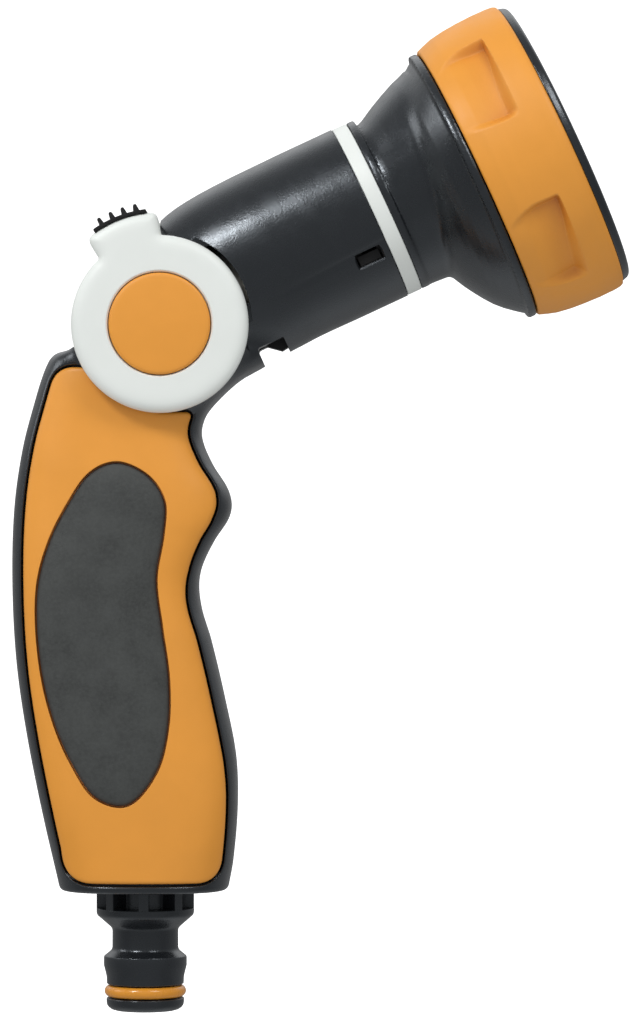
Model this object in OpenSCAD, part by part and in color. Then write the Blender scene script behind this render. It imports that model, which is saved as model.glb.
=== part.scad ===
// Garden hose spray nozzle with a thumb-turned flow valve and a rotating pattern dial.
// Origin: centre of the quick-connect nipple's mouth. +Z up the inlet, +X towards the spray, Y across.
// Nodes named left lie on the -Y side, nodes named right on the +Y side.

/* [Inlet nipple] */
// Radius of the nipple's nose and of the land behind the seal
nose_r = 7.95; // [7.85:0.05:8.05]
// Radius of the latch collar that the hose connector's claws hold
collar_r = 8.5; // [8.4:0.05:8.6]
// Radius of the latch groove above the collar
neck_r = 6.7; // [6.5:0.1:6.9]
// Radius of the ribbed collar under the handle
rib_collar_r = 10; // [9.8:0.1:10.2]
// Number of ribs on that collar
rib_count = 8; // [6:1:10]

/* [Handle] */
// Height of the handle's lower edge
handle_z0 = 24.8; // [24.5:0.1:25]
// Height of the shoulder behind the thumb lever
handle_z1 = 134.6; // [134.3:0.1:134.8]
// Squareness of the handle's section, 2 is an ellipse
section_power = 4; // [3:0.1:4.6]
// Wall of the handle shells at the front and back edges
shell_wall = 2.3; // [2:0.1:2.5]
// Width of the dark rim left outside a side panel
panel_inset = 2.8; // [2.6:0.1:3]
// How far a side panel stands proud of the shell
panel_proud = 0.25; // [0:0.05:0.35]
// How far a grip pad stands proud of the shell
pad_proud = 0.95; // [0.6:0.05:1.1]

/* [Thumb lever] */
// Forward position of the lever's pivot
pivot_x = 3.5; // [3.3:0.1:3.7]
// Height of the lever's pivot
pivot_z = 139.9; // [139.7:0.1:140.1]
// Radius of the lever's side discs
disc_r = 17.9; // [17.7:0.1:18]
// Radius of the pivot caps
cap_r = 10.25; // [10:0.05:10.3]
// Direction of the thumb tab from the pivot, above horizontal
tab_angle = 111; // [110:0.5:112]
// Number of ridges on the thumb grip
grip_ridges = 4; // [3:1:4]
// Travel of the lever
lever_travel = 60; // [50:5:60]

/* [Barrel and head] */
// Tilt of the barrel above horizontal
barrel_tilt = 25; // [24.8:0.1:25.2]
// Radius of the barrel
barrel_r = 18.7; // [18.6:0.05:18.8]
// How far the barrel's axis lies above the dial's axis
barrel_offset = 3.95; // [3.9:0.05:4]
// Forward position of the dial's rear edge
head_x = 67.9; // [67.7:0.1:68.1]
// Height of the dial's rear edge
head_z = 169.2; // [169:0.1:169.4]
// Number of finger pockets round the grip ring
pocket_count = 5; // [4:1:6]
// Number of spray patterns in the dial
pattern_count = 5; // [5:1:5]

/* [Hidden] */
$fn = 48;

dark = [0.24, 0.25, 0.27];
orange = [0.93, 0.60, 0.20];
white = [0.90, 0.91, 0.90];
soft = [0.20, 0.20, 0.21];
black = [0.09, 0.09, 0.09];
steel = [0.72, 0.73, 0.75];
natural = [0.82, 0.82, 0.78];

pivot = [pivot_x, 0, pivot_z];
tube_foot = [0, 0, 28];
tube_bend = [-3.9, 0, 105];      // where the riser turns towards the valve
lower_len = norm(tube_bend - tube_foot);
upper_len = norm(pivot - tube_bend);
// Tilts of the riser's two legs from vertical
lower_tilt = atan2(tube_bend[0] - tube_foot[0], tube_bend[2] - tube_foot[2]);
upper_tilt = atan2(pivot[0] - tube_bend[0], pivot[2] - tube_bend[2]);
// The pivot's place in the dial frame, along the spray and above the dial's axis
pivot_along = (pivot_x - head_x) * cos(barrel_tilt) + (pivot_z - head_z) * sin(barrel_tilt);
pivot_rise = -(pivot_x - head_x) * sin(barrel_tilt) + (pivot_z - head_z) * cos(barrel_tilt);

// ---------- frames ----------
module at_pivot() translate(pivot) children();
module across() rotate([-90, 0, 0]) children();         // z becomes +y
module forward() rotate([0, 90, 0]) children();         // z becomes +x
module pivot_axis() at_pivot() across() children();
// Dial frame: x along the spray, y across, origin at the dial's rear edge
module dial_frame() translate([head_x, 0, head_z]) rotate([0, -barrel_tilt, 0]) children();
module barrel_frame() dial_frame() translate([0, 0, barrel_offset]) children();
// Parallel to the dial's axis, through the pivot
module tube_frame() dial_frame() translate([0, 0, pivot_rise]) children();
// -z runs from the valve to the bend
module upper_leg() translate(pivot) rotate([0, upper_tilt, 0]) children();
// z runs from the foot to the bend
module lower_leg() translate(tube_foot) rotate([0, lower_tilt, 0]) children();
// Copies spaced evenly about x, turned on by phase steps
module around(count, phase = 0)
  for (i = [0 : count - 1]) rotate([360 * (i + phase) / count, 0, 0]) children();

// ---------- shared shapes ----------
module in_xz(thickness)
  rotate([90, 0, 0]) linear_extrude(thickness, center = true, convexity = 6) children();
module drum(radius, start, end)
  translate([start, 0, 0]) forward() cylinder(r = radius, h = end - start);
module pipe(radius, bore, start, end) difference() {
  drum(radius, start, end);
  drum(bore, start - 1, end + 1);
}
// Points [radius, x] turned about x
module turned(points, facets = 128, start = 0)
  forward() translate([0, 0, start]) rotate_extrude($fn = facets) polygon(points);
module torus(ring_radius, cord_radius)
  rotate_extrude($fn = 64) translate([ring_radius, 0]) circle(r = cord_radius, $fn = 24);
// A ring less than 3 high, the shape of an O-ring groove
module thin_ring(radius, bore, height) difference() {
  cylinder(r = radius, h = height);
  translate([0, 0, -1]) cylinder(r = bore, h = 4);
}
// A rod on the riser's upper leg, between two distances from the pivot
module upper_rod(radius, near, far)
  upper_leg() translate([0, 0, -far]) cylinder(r = radius, h = far - near);
// Rods from the pivot along both the inlet and the outlet
module valve_legs(radius, near, far) {
  upper_rod(radius, near, far);
  tube_frame() drum(radius, pivot_along + near, pivot_along + far);
}

// Screw along z with a cross recess in its head
module pan_screw(shank_r, head_r, length, head_h) difference() {
  union() {
    cylinder(r = shank_r, h = length);
    translate([0, 0, length]) cylinder(r = head_r, h = head_h);
  }
  for (slot = [[head_r * 1.3, 0.7], [0.7, head_r * 1.3]])
    translate([-slot[0] / 2, -slot[1] / 2, length + head_h - 0.9]) cube([slot[0], slot[1], 2]);
}

// A coil of wire along z
coil_wire = 0.12;   // radius of the wire
coil_steps = 12;    // sections to a turn
coil_sides = 6;     // corners of a section
coil_turns = 1.5;
module coil(coil_radius, height) {
  last = coil_turns * coil_steps;
  points = [for (k = [0 : last])
    let(turn = 360 * k / coil_steps, z = coil_wire + (height - 2 * coil_wire) * k / last)
    for (i = [0 : coil_sides - 1])
      let(angle = 360 * i / coil_sides, reach = coil_radius + coil_wire * cos(angle))
      [reach * cos(turn), reach * sin(turn), z + coil_wire * sin(angle)]];
  faces = concat(
    [[for (i = [coil_sides - 1 : -1 : 0]) i]],
    [for (k = [0 : last - 1]) for (i = [0 : coil_sides - 1])
      let(next = (i + 1) % coil_sides, here = k * coil_sides, ahead = here + coil_sides)
      each [[here + next, ahead + next, ahead + i], [here + next, ahead + i, here + i]]],
    [[for (i = [0 : coil_sides - 1]) last * coil_sides + i]]);
  polyhedron(points = points, faces = faces, convexity = 10);
}

// ---------- inlet ----------
seal_z = [2.55, 5.35];   // lower and upper edge of the nose's seal groove
riser_r = 7.2;
riser_bore = 4.8;
// O-ring grooves of the riser and barrel tube
groove_near = 16.1;      // distance from the pivot
groove_width = 1.7;
groove_r = 6.2;
groove_mid = groove_near + groove_width / 2;

module inlet_tube() color(dark) difference() {
  union() {
    rotate_extrude($fn = 96) polygon([[0, 0], [6.7, 0], [7.5, 0.3], [nose_r, 1.1],
      [nose_r, seal_z[0]], [5.95, seal_z[0]], [5.95, seal_z[1]], [nose_r - 0.05, seal_z[1]],
      [nose_r - 0.05, 7.4], [collar_r, 9.2], [collar_r, 11], [neck_r + 0.3, 12.2],
      [neck_r, 12.6], [neck_r, 16.6], [neck_r + 0.4, 17], [rib_collar_r - 0.5, 19.2],
      [rib_collar_r, 19.8], [rib_collar_r, 20.9], [7.8, 20.9], [7.8, 27],
      [12.2, 27], [12.2, 29.2], [0, 29.2]]);
    for (i = [0 : rib_count - 1]) rotate([0, 0, 360 * i / rib_count])
      translate([7.4, -0.8, 20.5]) cube([rib_collar_r - 7.4 - 0.02, 1.6, 7]);
    lower_leg() cylinder(r = riser_r, h = lower_len);
    translate(tube_bend) sphere(r = 7.35);
    upper_rod(riser_r, 21, upper_len);
    upper_rod(7.6, 13.4, 24);
  }
  // the waterway
  translate([0, 0, -1]) cylinder(r = 4.6, h = 29);
  translate(tube_foot) sphere(r = 5);
  lower_leg() cylinder(r = riser_bore, h = lower_len);
  translate(tube_bend) sphere(r = 5);
  upper_rod(riser_bore, 0, upper_len);
  upper_leg() translate([0, 0, -groove_near - groove_width]) thin_ring(8, groove_r, groove_width);
}
module inlet_o_ring()
  color(orange) translate([0, 0, (seal_z[0] + seal_z[1]) / 2]) torus(7.16, 1.2);
module tube_o_ring() torus(6.97, 0.75);
module riser_o_ring() color(black) upper_leg() translate([0, 0, -groove_mid]) tube_o_ring();

// ---------- handle form ----------
// [height, x] of the handle's back edge
back_edge = [[24.8, -17.5], [38.8, -20.8], [57.3, -24.5], [72, -26.6], [88, -27.4],
  [103, -27], [115, -25.3], [124.9, -22.8], [130.5, -21.1], [132.6, -20.2], [134, -18.4],
  [134.7, -15]];
// [height, x] of the handle's front edge
front_edge = [[24.8, 17], [31, 18.1], [42, 18.95], [52, 18.6], [63.4, 16.4], [75.7, 13.5],
  [82, 11.6], [87, 11], [91, 11.7], [96.2, 14.2], [100.5, 17], [103.6, 17.7], [107, 16.8],
  [112, 13.7], [117.5, 11.6], [121.5, 12.4], [124.9, 14.9], [128, 18.4], [131.9, 24.4],
  [134.7, 24.8]];
// [height, half thickness] of the handle
half_thick = [[24.8, 16.2], [45, 16.8], [75, 16.6], [95, 16.2], [110, 15.3], [121, 14.35],
  [134.7, 14.1]];

// Index of the table row at or below z
function knot(table, z, i = 0) =
  (i >= len(table) - 2 || z < table[i + 1][0]) ? i : knot(table, z, i + 1);
function slope(table, i) =
  let(low = table[max(i - 1, 0)], high = table[min(i + 1, len(table) - 1)])
  (high[1] - low[1]) / (high[0] - low[0]);
// Smooth cubic through a table, held level past its ends
function curve_at(table, z) =
  let(level = min(max(z, table[0][0]), table[len(table) - 1][0]),
    i = knot(table, level),
    span = table[i + 1][0] - table[i][0],
    part = (level - table[i][0]) / span,
    rest = 1 - part,
    ease = part * part * (3 - 2 * part))
  (1 - ease) * table[i][1] + ease * table[i + 1][1]
  + span * part * rest * (rest * slope(table, i) - part * slope(table, i + 1));

// Half thickness of the handle at x, z
function side_y(x, z) =
  let(back = curve_at(back_edge, z), front = curve_at(front_edge, z),
    off_centre = abs(2 * x - back - front) / (front - back))
  curve_at(half_thick, z) * pow(1 - pow(min(off_centre, 1), section_power), 1 / section_power);
function squared(value) = sign(value) * pow(abs(value), 2 / section_power);
function section(z, grow_x, grow_y, corners, inset) =
  let(back = curve_at(back_edge, z) - grow_x + inset,
    front = curve_at(front_edge, z) + grow_x - inset,
    half_y = curve_at(half_thick, z) + grow_y - inset)
  [for (i = [0 : corners - 1]) let(angle = 360 * (i + 0.5) / corners)
    [(back + front) / 2 + (front - back) / 2 * squared(cos(angle)),
      half_y * squared(sin(angle)), z]];
// Heights at which a section is drawn, closer at the ends
function stations(bottom, top, pitch) = concat([bottom, bottom + 0.6],
  [for (z = [bottom + 3.4 : pitch : top - 5]) z], [top - 2.6, top - 1.2, top - 0.5, top]);

// The handle's body, grown in x at its edges and in y at its sides, with eased ends
module handle_loft(grow_x = 0, grow_y = 0, bottom = handle_z0, top = handle_z1,
    corners = 24, pitch = 5.2) {
  heights = stations(bottom, top, pitch);
  last = len(heights) - 1;
  points = [for (j = [0 : last])
    let(inset = j == 0 ? 0.5 : j == last ? 1.2 : j == last - 1 ? 0.4 : 0)
    each section(heights[j], grow_x, grow_y, corners, inset)];
  faces = concat(
    [[for (i = [0 : corners - 1]) i]],
    [for (j = [0 : last - 1]) for (i = [0 : corners - 1])
      let(next = (i + 1) % corners, here = j * corners, above = here + corners)
      [here + i, above + i, above + next, here + next]],
    [[for (i = [corners - 1 : -1 : 0]) last * corners + i]]);
  polyhedron(points = points, faces = faces, convexity = 8);
}

// ---------- handle shells ----------
// [x, z] of the body screws and of the side panels' pegs
screw_at = [[-14, 124.5], [-18, 95], [-14.5, 45], [9, 102.5], [12, 50]];
peg_at = [[-12, 113], [6, 92.5], [-16, 70], [9, 36]];
screw_seat = 7.4;      // y under the screw heads
screw_tip = -8.2;      // y of the screw tips
barrel_start = -66;    // ends of the shells' barrel, in the barrel frame
barrel_end = -22.45;
barrel_wall = 2.3;

module sector_2d(inner, outer, start, end) {
  step = (end - start) / 16;
  polygon(concat([for (a = [start : step : end + 0.01]) outer * [cos(a), sin(a)]],
    [for (a = [end : -step : start - 0.01]) inner * [cos(a), sin(a)]]));
}
// The space the thumb tab sweeps through, kept clear of the shells
module thumb_sweep()
  at_pivot() in_xz(60) sector_2d(17.3, 34, 90.8, tab_angle + lever_travel + 23.2);

module body_outer() {
  handle_loft();
  pivot_axis() cylinder(r = 17.2, h = 29.6, center = true, $fn = 72);
  barrel_frame() turned([[0, 0], [barrel_r - 4.6, 0], [barrel_r - 2.1, 2.5],
    [barrel_r - 0.9, 7], [barrel_r - 0.2, 12], [barrel_r, 17],
    [barrel_r, barrel_end - barrel_start], [0, barrel_end - barrel_start]], 80, barrel_start);
}
module body_cavity() {
  handle_loft(-shell_wall, -4.5, handle_z0 + 2.2, handle_z1 - 2.5, 22);
  pivot_axis() cylinder(r = 14.6, h = 23.3, center = true, $fn = 60);
  barrel_frame() drum(barrel_r - barrel_wall, -60, -20);
}
module screw_bosses(radius) for (spot = screw_at) hull() {
  translate([spot[0], 0, spot[1]]) across() cylinder(r = radius, h = 15, $fn = 24);
  translate([spot[0] + (spot[0] < 0 ? -1.5 : 1.5), 4, spot[1]])
    across() cylinder(r = radius - 0.4, h = 11, $fn = 24);
}
// Level webs that hold the riser tube inside the shells
module tube_webs() for (z = [62, 84, 108]) translate([-24, 0, z]) cube([37, 14, 1.8]);
module shell_inside(tapped) intersection() {
  handle_loft(-1, -1.5, handle_z0, handle_z1, 16, 9);
  difference() {
    union() {
      screw_bosses(tapped ? 3.3 : 4.3);
      tube_webs();
    }
    lower_leg() cylinder(r = 7.7, h = 80);
    upper_rod(7.7, 10, 40);
    pivot_axis() cylinder(r = 13.2, h = 40, center = true);
    upper_rod(9.7, -5.6, 24.4);
  }
}

// One half of the body, on the side of positive y
module half_shell(tapped) difference() {
  union() {
    difference() {
      body_outer();
      body_cavity();
    }
    shell_inside(tapped);
  }
  // the other half
  translate([-60, -80.02, 0]) cube([200, 80.05, 240]);
  thumb_sweep();
  // flat seat for the lever disc, and the spindle's hole
  translate([0, 0, 0.3]) pivot_axis() translate([0, 0, 14.85]) cylinder(r = 18.6, h = 10, $fn = 96);
  pivot_axis() cylinder(r = 5.3, h = 40);
  // panel pocket and the pegs' holes
  difference() {
    in_xz(60) panel_2d(0.55);
    handle_loft(0, -2.3);
  }
  for (spot = peg_at)
    translate([spot[0], 5, spot[1]]) across() cylinder(r = 1.95, h = 12, $fn = 24);
  for (spot = screw_at) translate([spot[0], -1, spot[1]]) across() {
    cylinder(r = 1.55, h = tapped ? 9.5 : 30, $fn = 24);
    if (!tapped) translate([0, 0, screw_seat + 1]) cylinder(r = 3.15, h = 20, $fn = 32);
  }
  // collar hole at the foot
  translate([0, 0, 20]) cylinder(r = 10.35, h = 7.1, $fn = 72);
  translate([0, 0, 26.9]) cylinder(r = 12.5, h = 2.5, $fn = 72);
  // latch slot under the barrel, and the latch window in its side
  barrel_frame() translate([-55.15, -12, -26]) cube([6.3, 24, 10.1]);
  barrel_frame() translate([-29.4, 8, -10.5]) cube([5.4, 14, 3]);
}
module left_body_shell() color(dark) mirror([0, 1, 0]) half_shell(true);
module right_body_shell() color(dark) half_shell(false);
module body_screws() color(steel) for (spot = screw_at)
  translate([spot[0], screw_tip, spot[1]]) across() pan_screw(1.45, 2.8, screw_seat - screw_tip, 1.9);

// ---------- side panels and grip pads ----------
// The handle's side view, inset at both edges and moved 0.2 forward
module panel_edge_2d() {
  heights = [for (i = [0 : 32]) 26.9 + (131.4 - 26.9) * i / 32];
  polygon(concat([for (z = heights) [curve_at(back_edge, z) + panel_inset + 0.2, z]],
    [for (i = [32 : -1 : 0]) let(z = heights[i]) [curve_at(front_edge, z) - panel_inset + 0.2, z]]));
}
module panel_2d(grow = 0)
  offset(delta = grow) offset(r = 3.4, $fn = 32) offset(delta = -3.4) difference() {
    panel_edge_2d();
    translate([pivot_x, pivot_z]) circle(r = 16.2, $fn = 64);
    translate([3, 122.3]) square([40, 20]);
  }

// [x, z] corner points of the soft pad, joined by a smooth closed curve
pad_pts = [[-5.2, 111.9], [0.9, 109.3], [4.3, 104.1], [4.1, 97.3], [2.7, 88.4], [3.8, 78.8],
  [5.2, 68.6], [5.1, 58.8], [2.8, 49.6], [-2.8, 43], [-9.5, 44.4], [-14.2, 51.1],
  [-17.8, 59.3], [-20.3, 69], [-21.4, 79.6], [-21, 88.2], [-18.8, 96], [-15.4, 102.9],
  [-10.9, 109.5]];
function pad_point(i) = pad_pts[(i + len(pad_pts)) % len(pad_pts)];
// Point on the curve, the given part of the way from corner i to the next
function pad_curve(i, part) =
  let(before = pad_point(i - 1), here = pad_point(i),
    next = pad_point(i + 1), after = pad_point(i + 2))
  0.5 * (2 * here + part * (next - before)
    + part * part * (2 * before - 5 * here + 4 * next - after)
    + part * part * part * (3 * here - before - 3 * next + after));
module pad_2d(grow = 0) offset(delta = grow)
  polygon([for (i = [0 : len(pad_pts) - 1]) for (part = [0, 0.5]) pad_curve(i, part)]);

peg_start = 9.6;   // y of the pegs' inner ends
module panel_peg(x, z) {
  length = side_y(x, z) - peg_start - 1;
  translate([x, peg_start, z]) across() rotate_extrude($fn = 32)
    polygon([[0, 0], [1.2, 0], [1.75, 1], [1.75, length], [0, length]]);
}
module side_panel() difference() {
  union() {
    intersection() {
      in_xz(60) panel_2d();
      difference() {
        handle_loft(panel_proud, panel_proud);
        handle_loft(0, -2.15);
      }
      translate([-60, 0.5, 0]) cube([120, 40, 160]);
    }
    for (spot = peg_at) panel_peg(spot[0], spot[1]);
  }
  // pocket for the grip pad
  difference() {
    in_xz(60) pad_2d(0.35);
    handle_loft(0, -1.35);
  }
}
module left_side_panel() color(orange) mirror([0, 1, 0]) side_panel();
module right_side_panel() color(orange) side_panel();

module grip_pad() intersection() {
  in_xz(60) pad_2d();
  difference() {
    handle_loft(0.2, pad_proud);
    handle_loft(0, -1.3);
  }
  translate([-60, 4, 0]) cube([120, 40, 160]);
}
module left_grip_pad() color(soft) mirror([0, 1, 0]) grip_pad();
module right_grip_pad() color(soft) grip_pad();

// ---------- valve ----------
plug_r = 8;
plug_room_r = plug_r + 0.06;
spindle_r = 4.2;
spindle_hole_r = spindle_r + 0.07;
port_r = 4.2;           // waterway in the housing and seats
housing_half = 11.5;    // half the housing's width across
plug_ring_y = 10.55;    // O-rings' distance from the middle
seat_far = 10.2;        // seats' outer face from the pivot

module valve_housing() color(natural) difference() {
  union() {
    pivot_axis() translate([0, 0, -housing_half]) cylinder(r = 12.4, h = 2 * housing_half);
    valve_legs(9.3, 0, 24.2);
  }
  pivot_axis() {
    translate([0, 0, -9.4]) cylinder(r = plug_room_r, h = 30);
    translate([0, 0, 9.55]) cylinder(r = 9.6, h = 3);
    translate([0, 0, -13]) cylinder(r = spindle_hole_r, h = 10);
  }
  valve_legs(port_r, 0, 14);
  valve_legs(5.7, 5, 10.3);     // seat pockets
  valve_legs(7.75, 13.1, 25);   // tube sockets
}
module valve_end_cap() color(natural) pivot_axis() difference() {
  translate([0, 0, 9.6]) cylinder(r = 9.5, h = 1.9);
  translate([0, 0, 9]) cylinder(r = spindle_hole_r, h = 4);
}
module seat_ring() difference() {
  cylinder(r = 5.55, h = 5);
  translate([0, 0, -1]) cylinder(r = port_r, h = 8);
}
// Shapes a seat ring to the plug
module fit_to_plug() difference() {
  children();
  pivot_axis() cylinder(r = plug_room_r, h = 24, center = true);
}
module valve_seat_inlet()
  color(black) fit_to_plug() upper_leg() translate([0, 0, -seat_far]) seat_ring();
module valve_seat_outlet() color(black) fit_to_plug()
  tube_frame() translate([pivot_along + seat_far, 0, 0]) rotate([0, -90, 0]) seat_ring();
module valve_plug() color(white) difference() {
  pivot_axis() {
    cylinder(r = plug_r, h = 18.6, center = true);
    cylinder(r = spindle_r, h = 29.4, center = true);
    translate([-2.85, -2.85, -17.1]) cube([5.7, 5.7, 34.2]);
  }
  at_pivot() sphere(r = 4.2);
  valve_legs(3.9, 0, 12);
  for (side = [-1, 1]) pivot_axis() {
    translate([0, 0, side * plug_ring_y - 0.7]) thin_ring(5, 3.05, 1.4);
    translate([0, 0, side > 0 ? 9.6 : -18.6]) cylinder(r = 1.55, h = 9);
  }
}
module plug_o_rings() color(black)
  for (side = [-1, 1]) pivot_axis() translate([0, 0, side * plug_ring_y]) torus(3.66, 0.58);

// ---------- thumb lever ----------
tab_half_w = 6.95;
tab_r = 22.05;      // top of the white tab
tab_half = 14.3;    // half the angle the tab's top spans

module tab_2d() rotate(tab_angle - 90) polygon(concat(
  [[-tab_half_w, 10], [tab_half_w, 10], [tab_half_w, 19.6], [tab_half_w - 0.25, 20.7]],
  [for (a = [-tab_half : tab_half / 6 : tab_half + 0.01]) tab_r * [-sin(a), cos(a)]],
  [[-tab_half_w + 0.25, 20.7], [-tab_half_w, 19.6]]));
module lever_disc() at_pivot() difference() {
  union() {
    across() rotate_extrude($fn = 128) polygon([[0, 15.2], [disc_r - 0.5, 15.2],
      [disc_r, 15.7], [disc_r, 17.4], [disc_r - 0.25, 18.1], [disc_r - 0.8, 18.7],
      [disc_r - 1.7, 19.05], [disc_r - 3, 19.2], [0, 19.2]]);
    intersection() {
      translate([0, 17.1, 0]) in_xz(3.8) tab_2d();
      difference() {
        cube(80, center = true);
        across() cylinder(r = disc_r - 4, h = 60, center = true);
      }
    }
  }
  // cap recess and square spindle hole
  across() translate([0, 0, 17.2]) cylinder(r = cap_r + 0.2, h = 5, $fn = 96);
  across() translate([-2.9, -2.9, 10]) cube([5.8, 5.8, 10]);
}
module left_lever_disc() color(white) mirror([0, 1, 0]) lever_disc();
module right_lever_disc() color(white) lever_disc();
// Points z outward at an angle above +x
module outward(angle) rotate([0, 90 - angle, 0]) children();
module thumb_bar() color(white) at_pivot() difference() {
  in_xz(30.3) rotate(tab_angle) sector_2d(19.2, 22, -13.5, 13.5);
  for (y = [-9, 0, 9]) outward(tab_angle) translate([-3, y - 3, 18]) cube([6, 6, 2.6]);
}
module thumb_grip() color(black) at_pivot() {
  in_xz(36.4) rotate(tab_angle) sector_2d(22.1, 23.05, -13.9, 13.9);
  for (i = [0 : grip_ridges - 1]) outward(tab_angle + (i - (grip_ridges - 1) / 2) * 6)
    translate([-0.5, -17.4, 22.9]) cube([1, 34.8, 1.45]);
}
module pivot_cap() pivot_axis() rotate_extrude($fn = 96) polygon([[0, 18.75],
  [cap_r - 1, 18.75], [cap_r - 1, 17.3], [cap_r, 17.3], [cap_r, 19.1], [cap_r - 0.3, 19.4],
  [cap_r - 1, 19.55], [7, 19.75], [4, 19.9], [0, 20]]);
module left_pivot_cap() color(orange) mirror([0, 1, 0]) pivot_cap();
module right_pivot_cap() color(orange) pivot_cap();
module lever_screws() color(steel) at_pivot() for (side = [-1, 1])
  rotate([-90 * side, 0, 0]) translate([0, 0, 10.2]) pan_screw(1.45, 3.6, 7.05, 1.3);

// ---------- barrel ----------
module barrel_tube() color(black) difference() {
  union() {
    tube_frame() {
      drum(7.6, pivot_along + 13.4, pivot_along + 24.5);
      drum(7.9, pivot_along + 24.4, -13.9);
      drum(8.6, -13.95, -9.8);
      drum(10.4, -30, -17);
    }
    barrel_frame() {
      drum(16.1, -30, -27.8);
      drum(15.8, -23.4, -19.2);
      drum(16.3, -24.6, -23.2);
      // lower tongue with its ramped catch, drawn as [x, depth below the axis]
      translate([-53.6, -4, -15.7]) cube([24, 8, 1.5]);
      translate([0, -3.6, 0]) across() linear_extrude(7.2)
        polygon([[-53.6, 15.6], [-50.5, 18.2], [-49.1, 18], [-49.1, 15.6]]);
      // side catches that show in the windows
      for (y = [-14.7, 10.5]) translate([-29, y, -10.2]) cube([4.6, 4.2, 2.3]);
    }
  }
  tube_frame() drum(5, pivot_along, 0);
  tube_frame() translate([pivot_along + groove_near, 0, 0])
    forward() thin_ring(8.4, groove_r, groove_width);
}
module barrel_o_ring() color(black)
  tube_frame() translate([pivot_along + groove_mid, 0, 0]) forward() tube_o_ring();
module trim_ring() color(white) barrel_frame() turned([[16.15, 0], [18.35, 0], [18.6, 0.25],
  [18.6, 3.15], [18.35, 3.4], [16.15, 3.4]], start = -22.35);

// ---------- head, fixed side ----------
outlet_z = 10;     // outlet's height above the dial's axis
detent_z = -11;    // detent's height, below the axis
// [radius, x] of the bell's rear face
dome = [[13.4, -13.2], [16.1, -12.1], [18, -11.1], [19.8, -10], [21.9, -8.6], [23.7, -7.2],
  [25.4, -5.6], [26.8, -4], [27.9, -2.6], [28.2, -1.9]];

module bell_housing() color(dark) difference() {
  union() {
    dial_frame() turned(concat([[0, -13.2]], dome,
      [[29.1, -1.9], [29.4, -1.6], [29.4, -0.35], [29.2, -0.12], [0, -0.12]]));
    hull() {
      barrel_frame() drum(18.0, -17.4, -17.2);
      dial_frame() translate([0, 0, 5.95]) drum(20.95, -5.2, -5);
    }
    barrel_frame() turned([[0, 0], [18.3, 0], [18.55, 0.3], [18.55, 1.3], [18.2, 1.75],
      [0, 1.75]], start = -18.9);
  }
  // room inside
  dial_frame() turned([[0, -10.2], [16.4, -10.2], [19.6, -7.8], [22, -6.4], [25.4, -3.9],
    [25.9, -3], [27.6, -1], [27.6, 1], [0, 1]], 96);
  tube_frame() drum(10.8, -20, -9);
  barrel_frame() drum(16.1, -20, -16.6);
}
module outlet_hub() color(natural) difference() {
  union() {
    dial_frame() drum(16.1, -9.6, -3.6);
    tube_frame() drum(10.3, -13.6, -9.5);
    dial_frame() drum(3.4, -4, 3.6);
  }
  tube_frame() drum(8.8, -15, -9.7);
  dial_frame() {
    // chamber round the screw and detent bosses
    difference() {
      drum(14.1, -8, -5.6);
      drum(4.6, -9, -5);
      translate([0, 0, detent_z]) drum(3.6, -9, -5);
    }
    // entry, with a thin pin left at its centre
    translate([0, 0, pivot_rise]) difference() {
      drum(5, -12, -7.5);
      drum(0.5, -13, -7);
    }
    drum(1.3, -5.5, 5);
    translate([0, 0, outlet_z]) {
      drum(3.4, -6, -3);
      drum(4.75, -5.3, -3);
    }
    translate([0, 0, detent_z]) drum(2.1, -7.6, -3);
  }
}
module outlet_seal()
  color(black) dial_frame() translate([0, 0, outlet_z]) pipe(4.6, 3.1, -4.5, -3.25);
module seal_spring()
  color(steel) dial_frame() translate([-5.28, 0, outlet_z]) forward() coil(3.9, 0.76);
module detent_ball() color(steel) dial_frame() translate([-5.25, 0, detent_z]) sphere(r = 1.95);
module detent_spring()
  color(steel) dial_frame() translate([-7.58, 0, detent_z]) forward() coil(1.2, 0.7);
module dial_screw()
  color(steel) dial_frame() translate([-4.5, 0, 0]) forward() pan_screw(1.25, 4.2, 8.5, 1.6);

// ---------- head, turning side ----------
hub_hole_r = 3.45;
mist_count = 5;
mist_z = 19;       // mist nozzles' distance from the axis
// [radius, x] of the grip ring's outside
ring_profile = [[29.3, 0.15], [29.65, 0.35], [30.25, 2], [30.8, 3.8], [31.25, 6.6],
  [31.5, 9.7], [31.65, 13.2], [31.45, 16.5], [31.2, 18.2], [30.95, 18.75], [30.5, 19]];

module ports(start, end) around(pattern_count) translate([0, 0, outlet_z]) drum(3, start, end);
module selector_disc() color(natural) dial_frame() difference() {
  drum(24.6, -3.2, -1.2);
  drum(hub_hole_r, -4, 0);
  ports(-4, 0);
  around(pattern_count) translate([-4.35, 0, detent_z]) sphere(r = 1.7);
}
module dial_core() color(dark) dial_frame() difference() {
  union() {
    drum(27.2, -1.15, 0.7);
    pipe(28.2, 26.4, 0.3, 17.4);
    pipe(6.6, 5, 0.3, 16.6);
    // walls between the patterns
    intersection() {
      pipe(26.6, 6, 0.3, 16.6);
      around(pattern_count, 0.5) translate([0, -0.7, 0]) cube([17, 1.4, 30]);
    }
    drum(6, 0.3, 3.2);
  }
  drum(hub_hole_r, -2, 6);
  ports(-2, 2);
}
module grip_ring() color(orange) dial_frame() difference() {
  turned(concat([[28.35, 0.15]], ring_profile, [[28.35, 19]]), 160);
  // finger pockets, deepest at the front step and running out at the rear
  rotate([90, 0, 0]) around(pocket_count, 0.5) translate([12.6, 0, 31.7])
    rotate([0, 11, 0]) translate([-16, -10.6, -1.55]) cube([16, 21.2, 8]);
}
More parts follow.
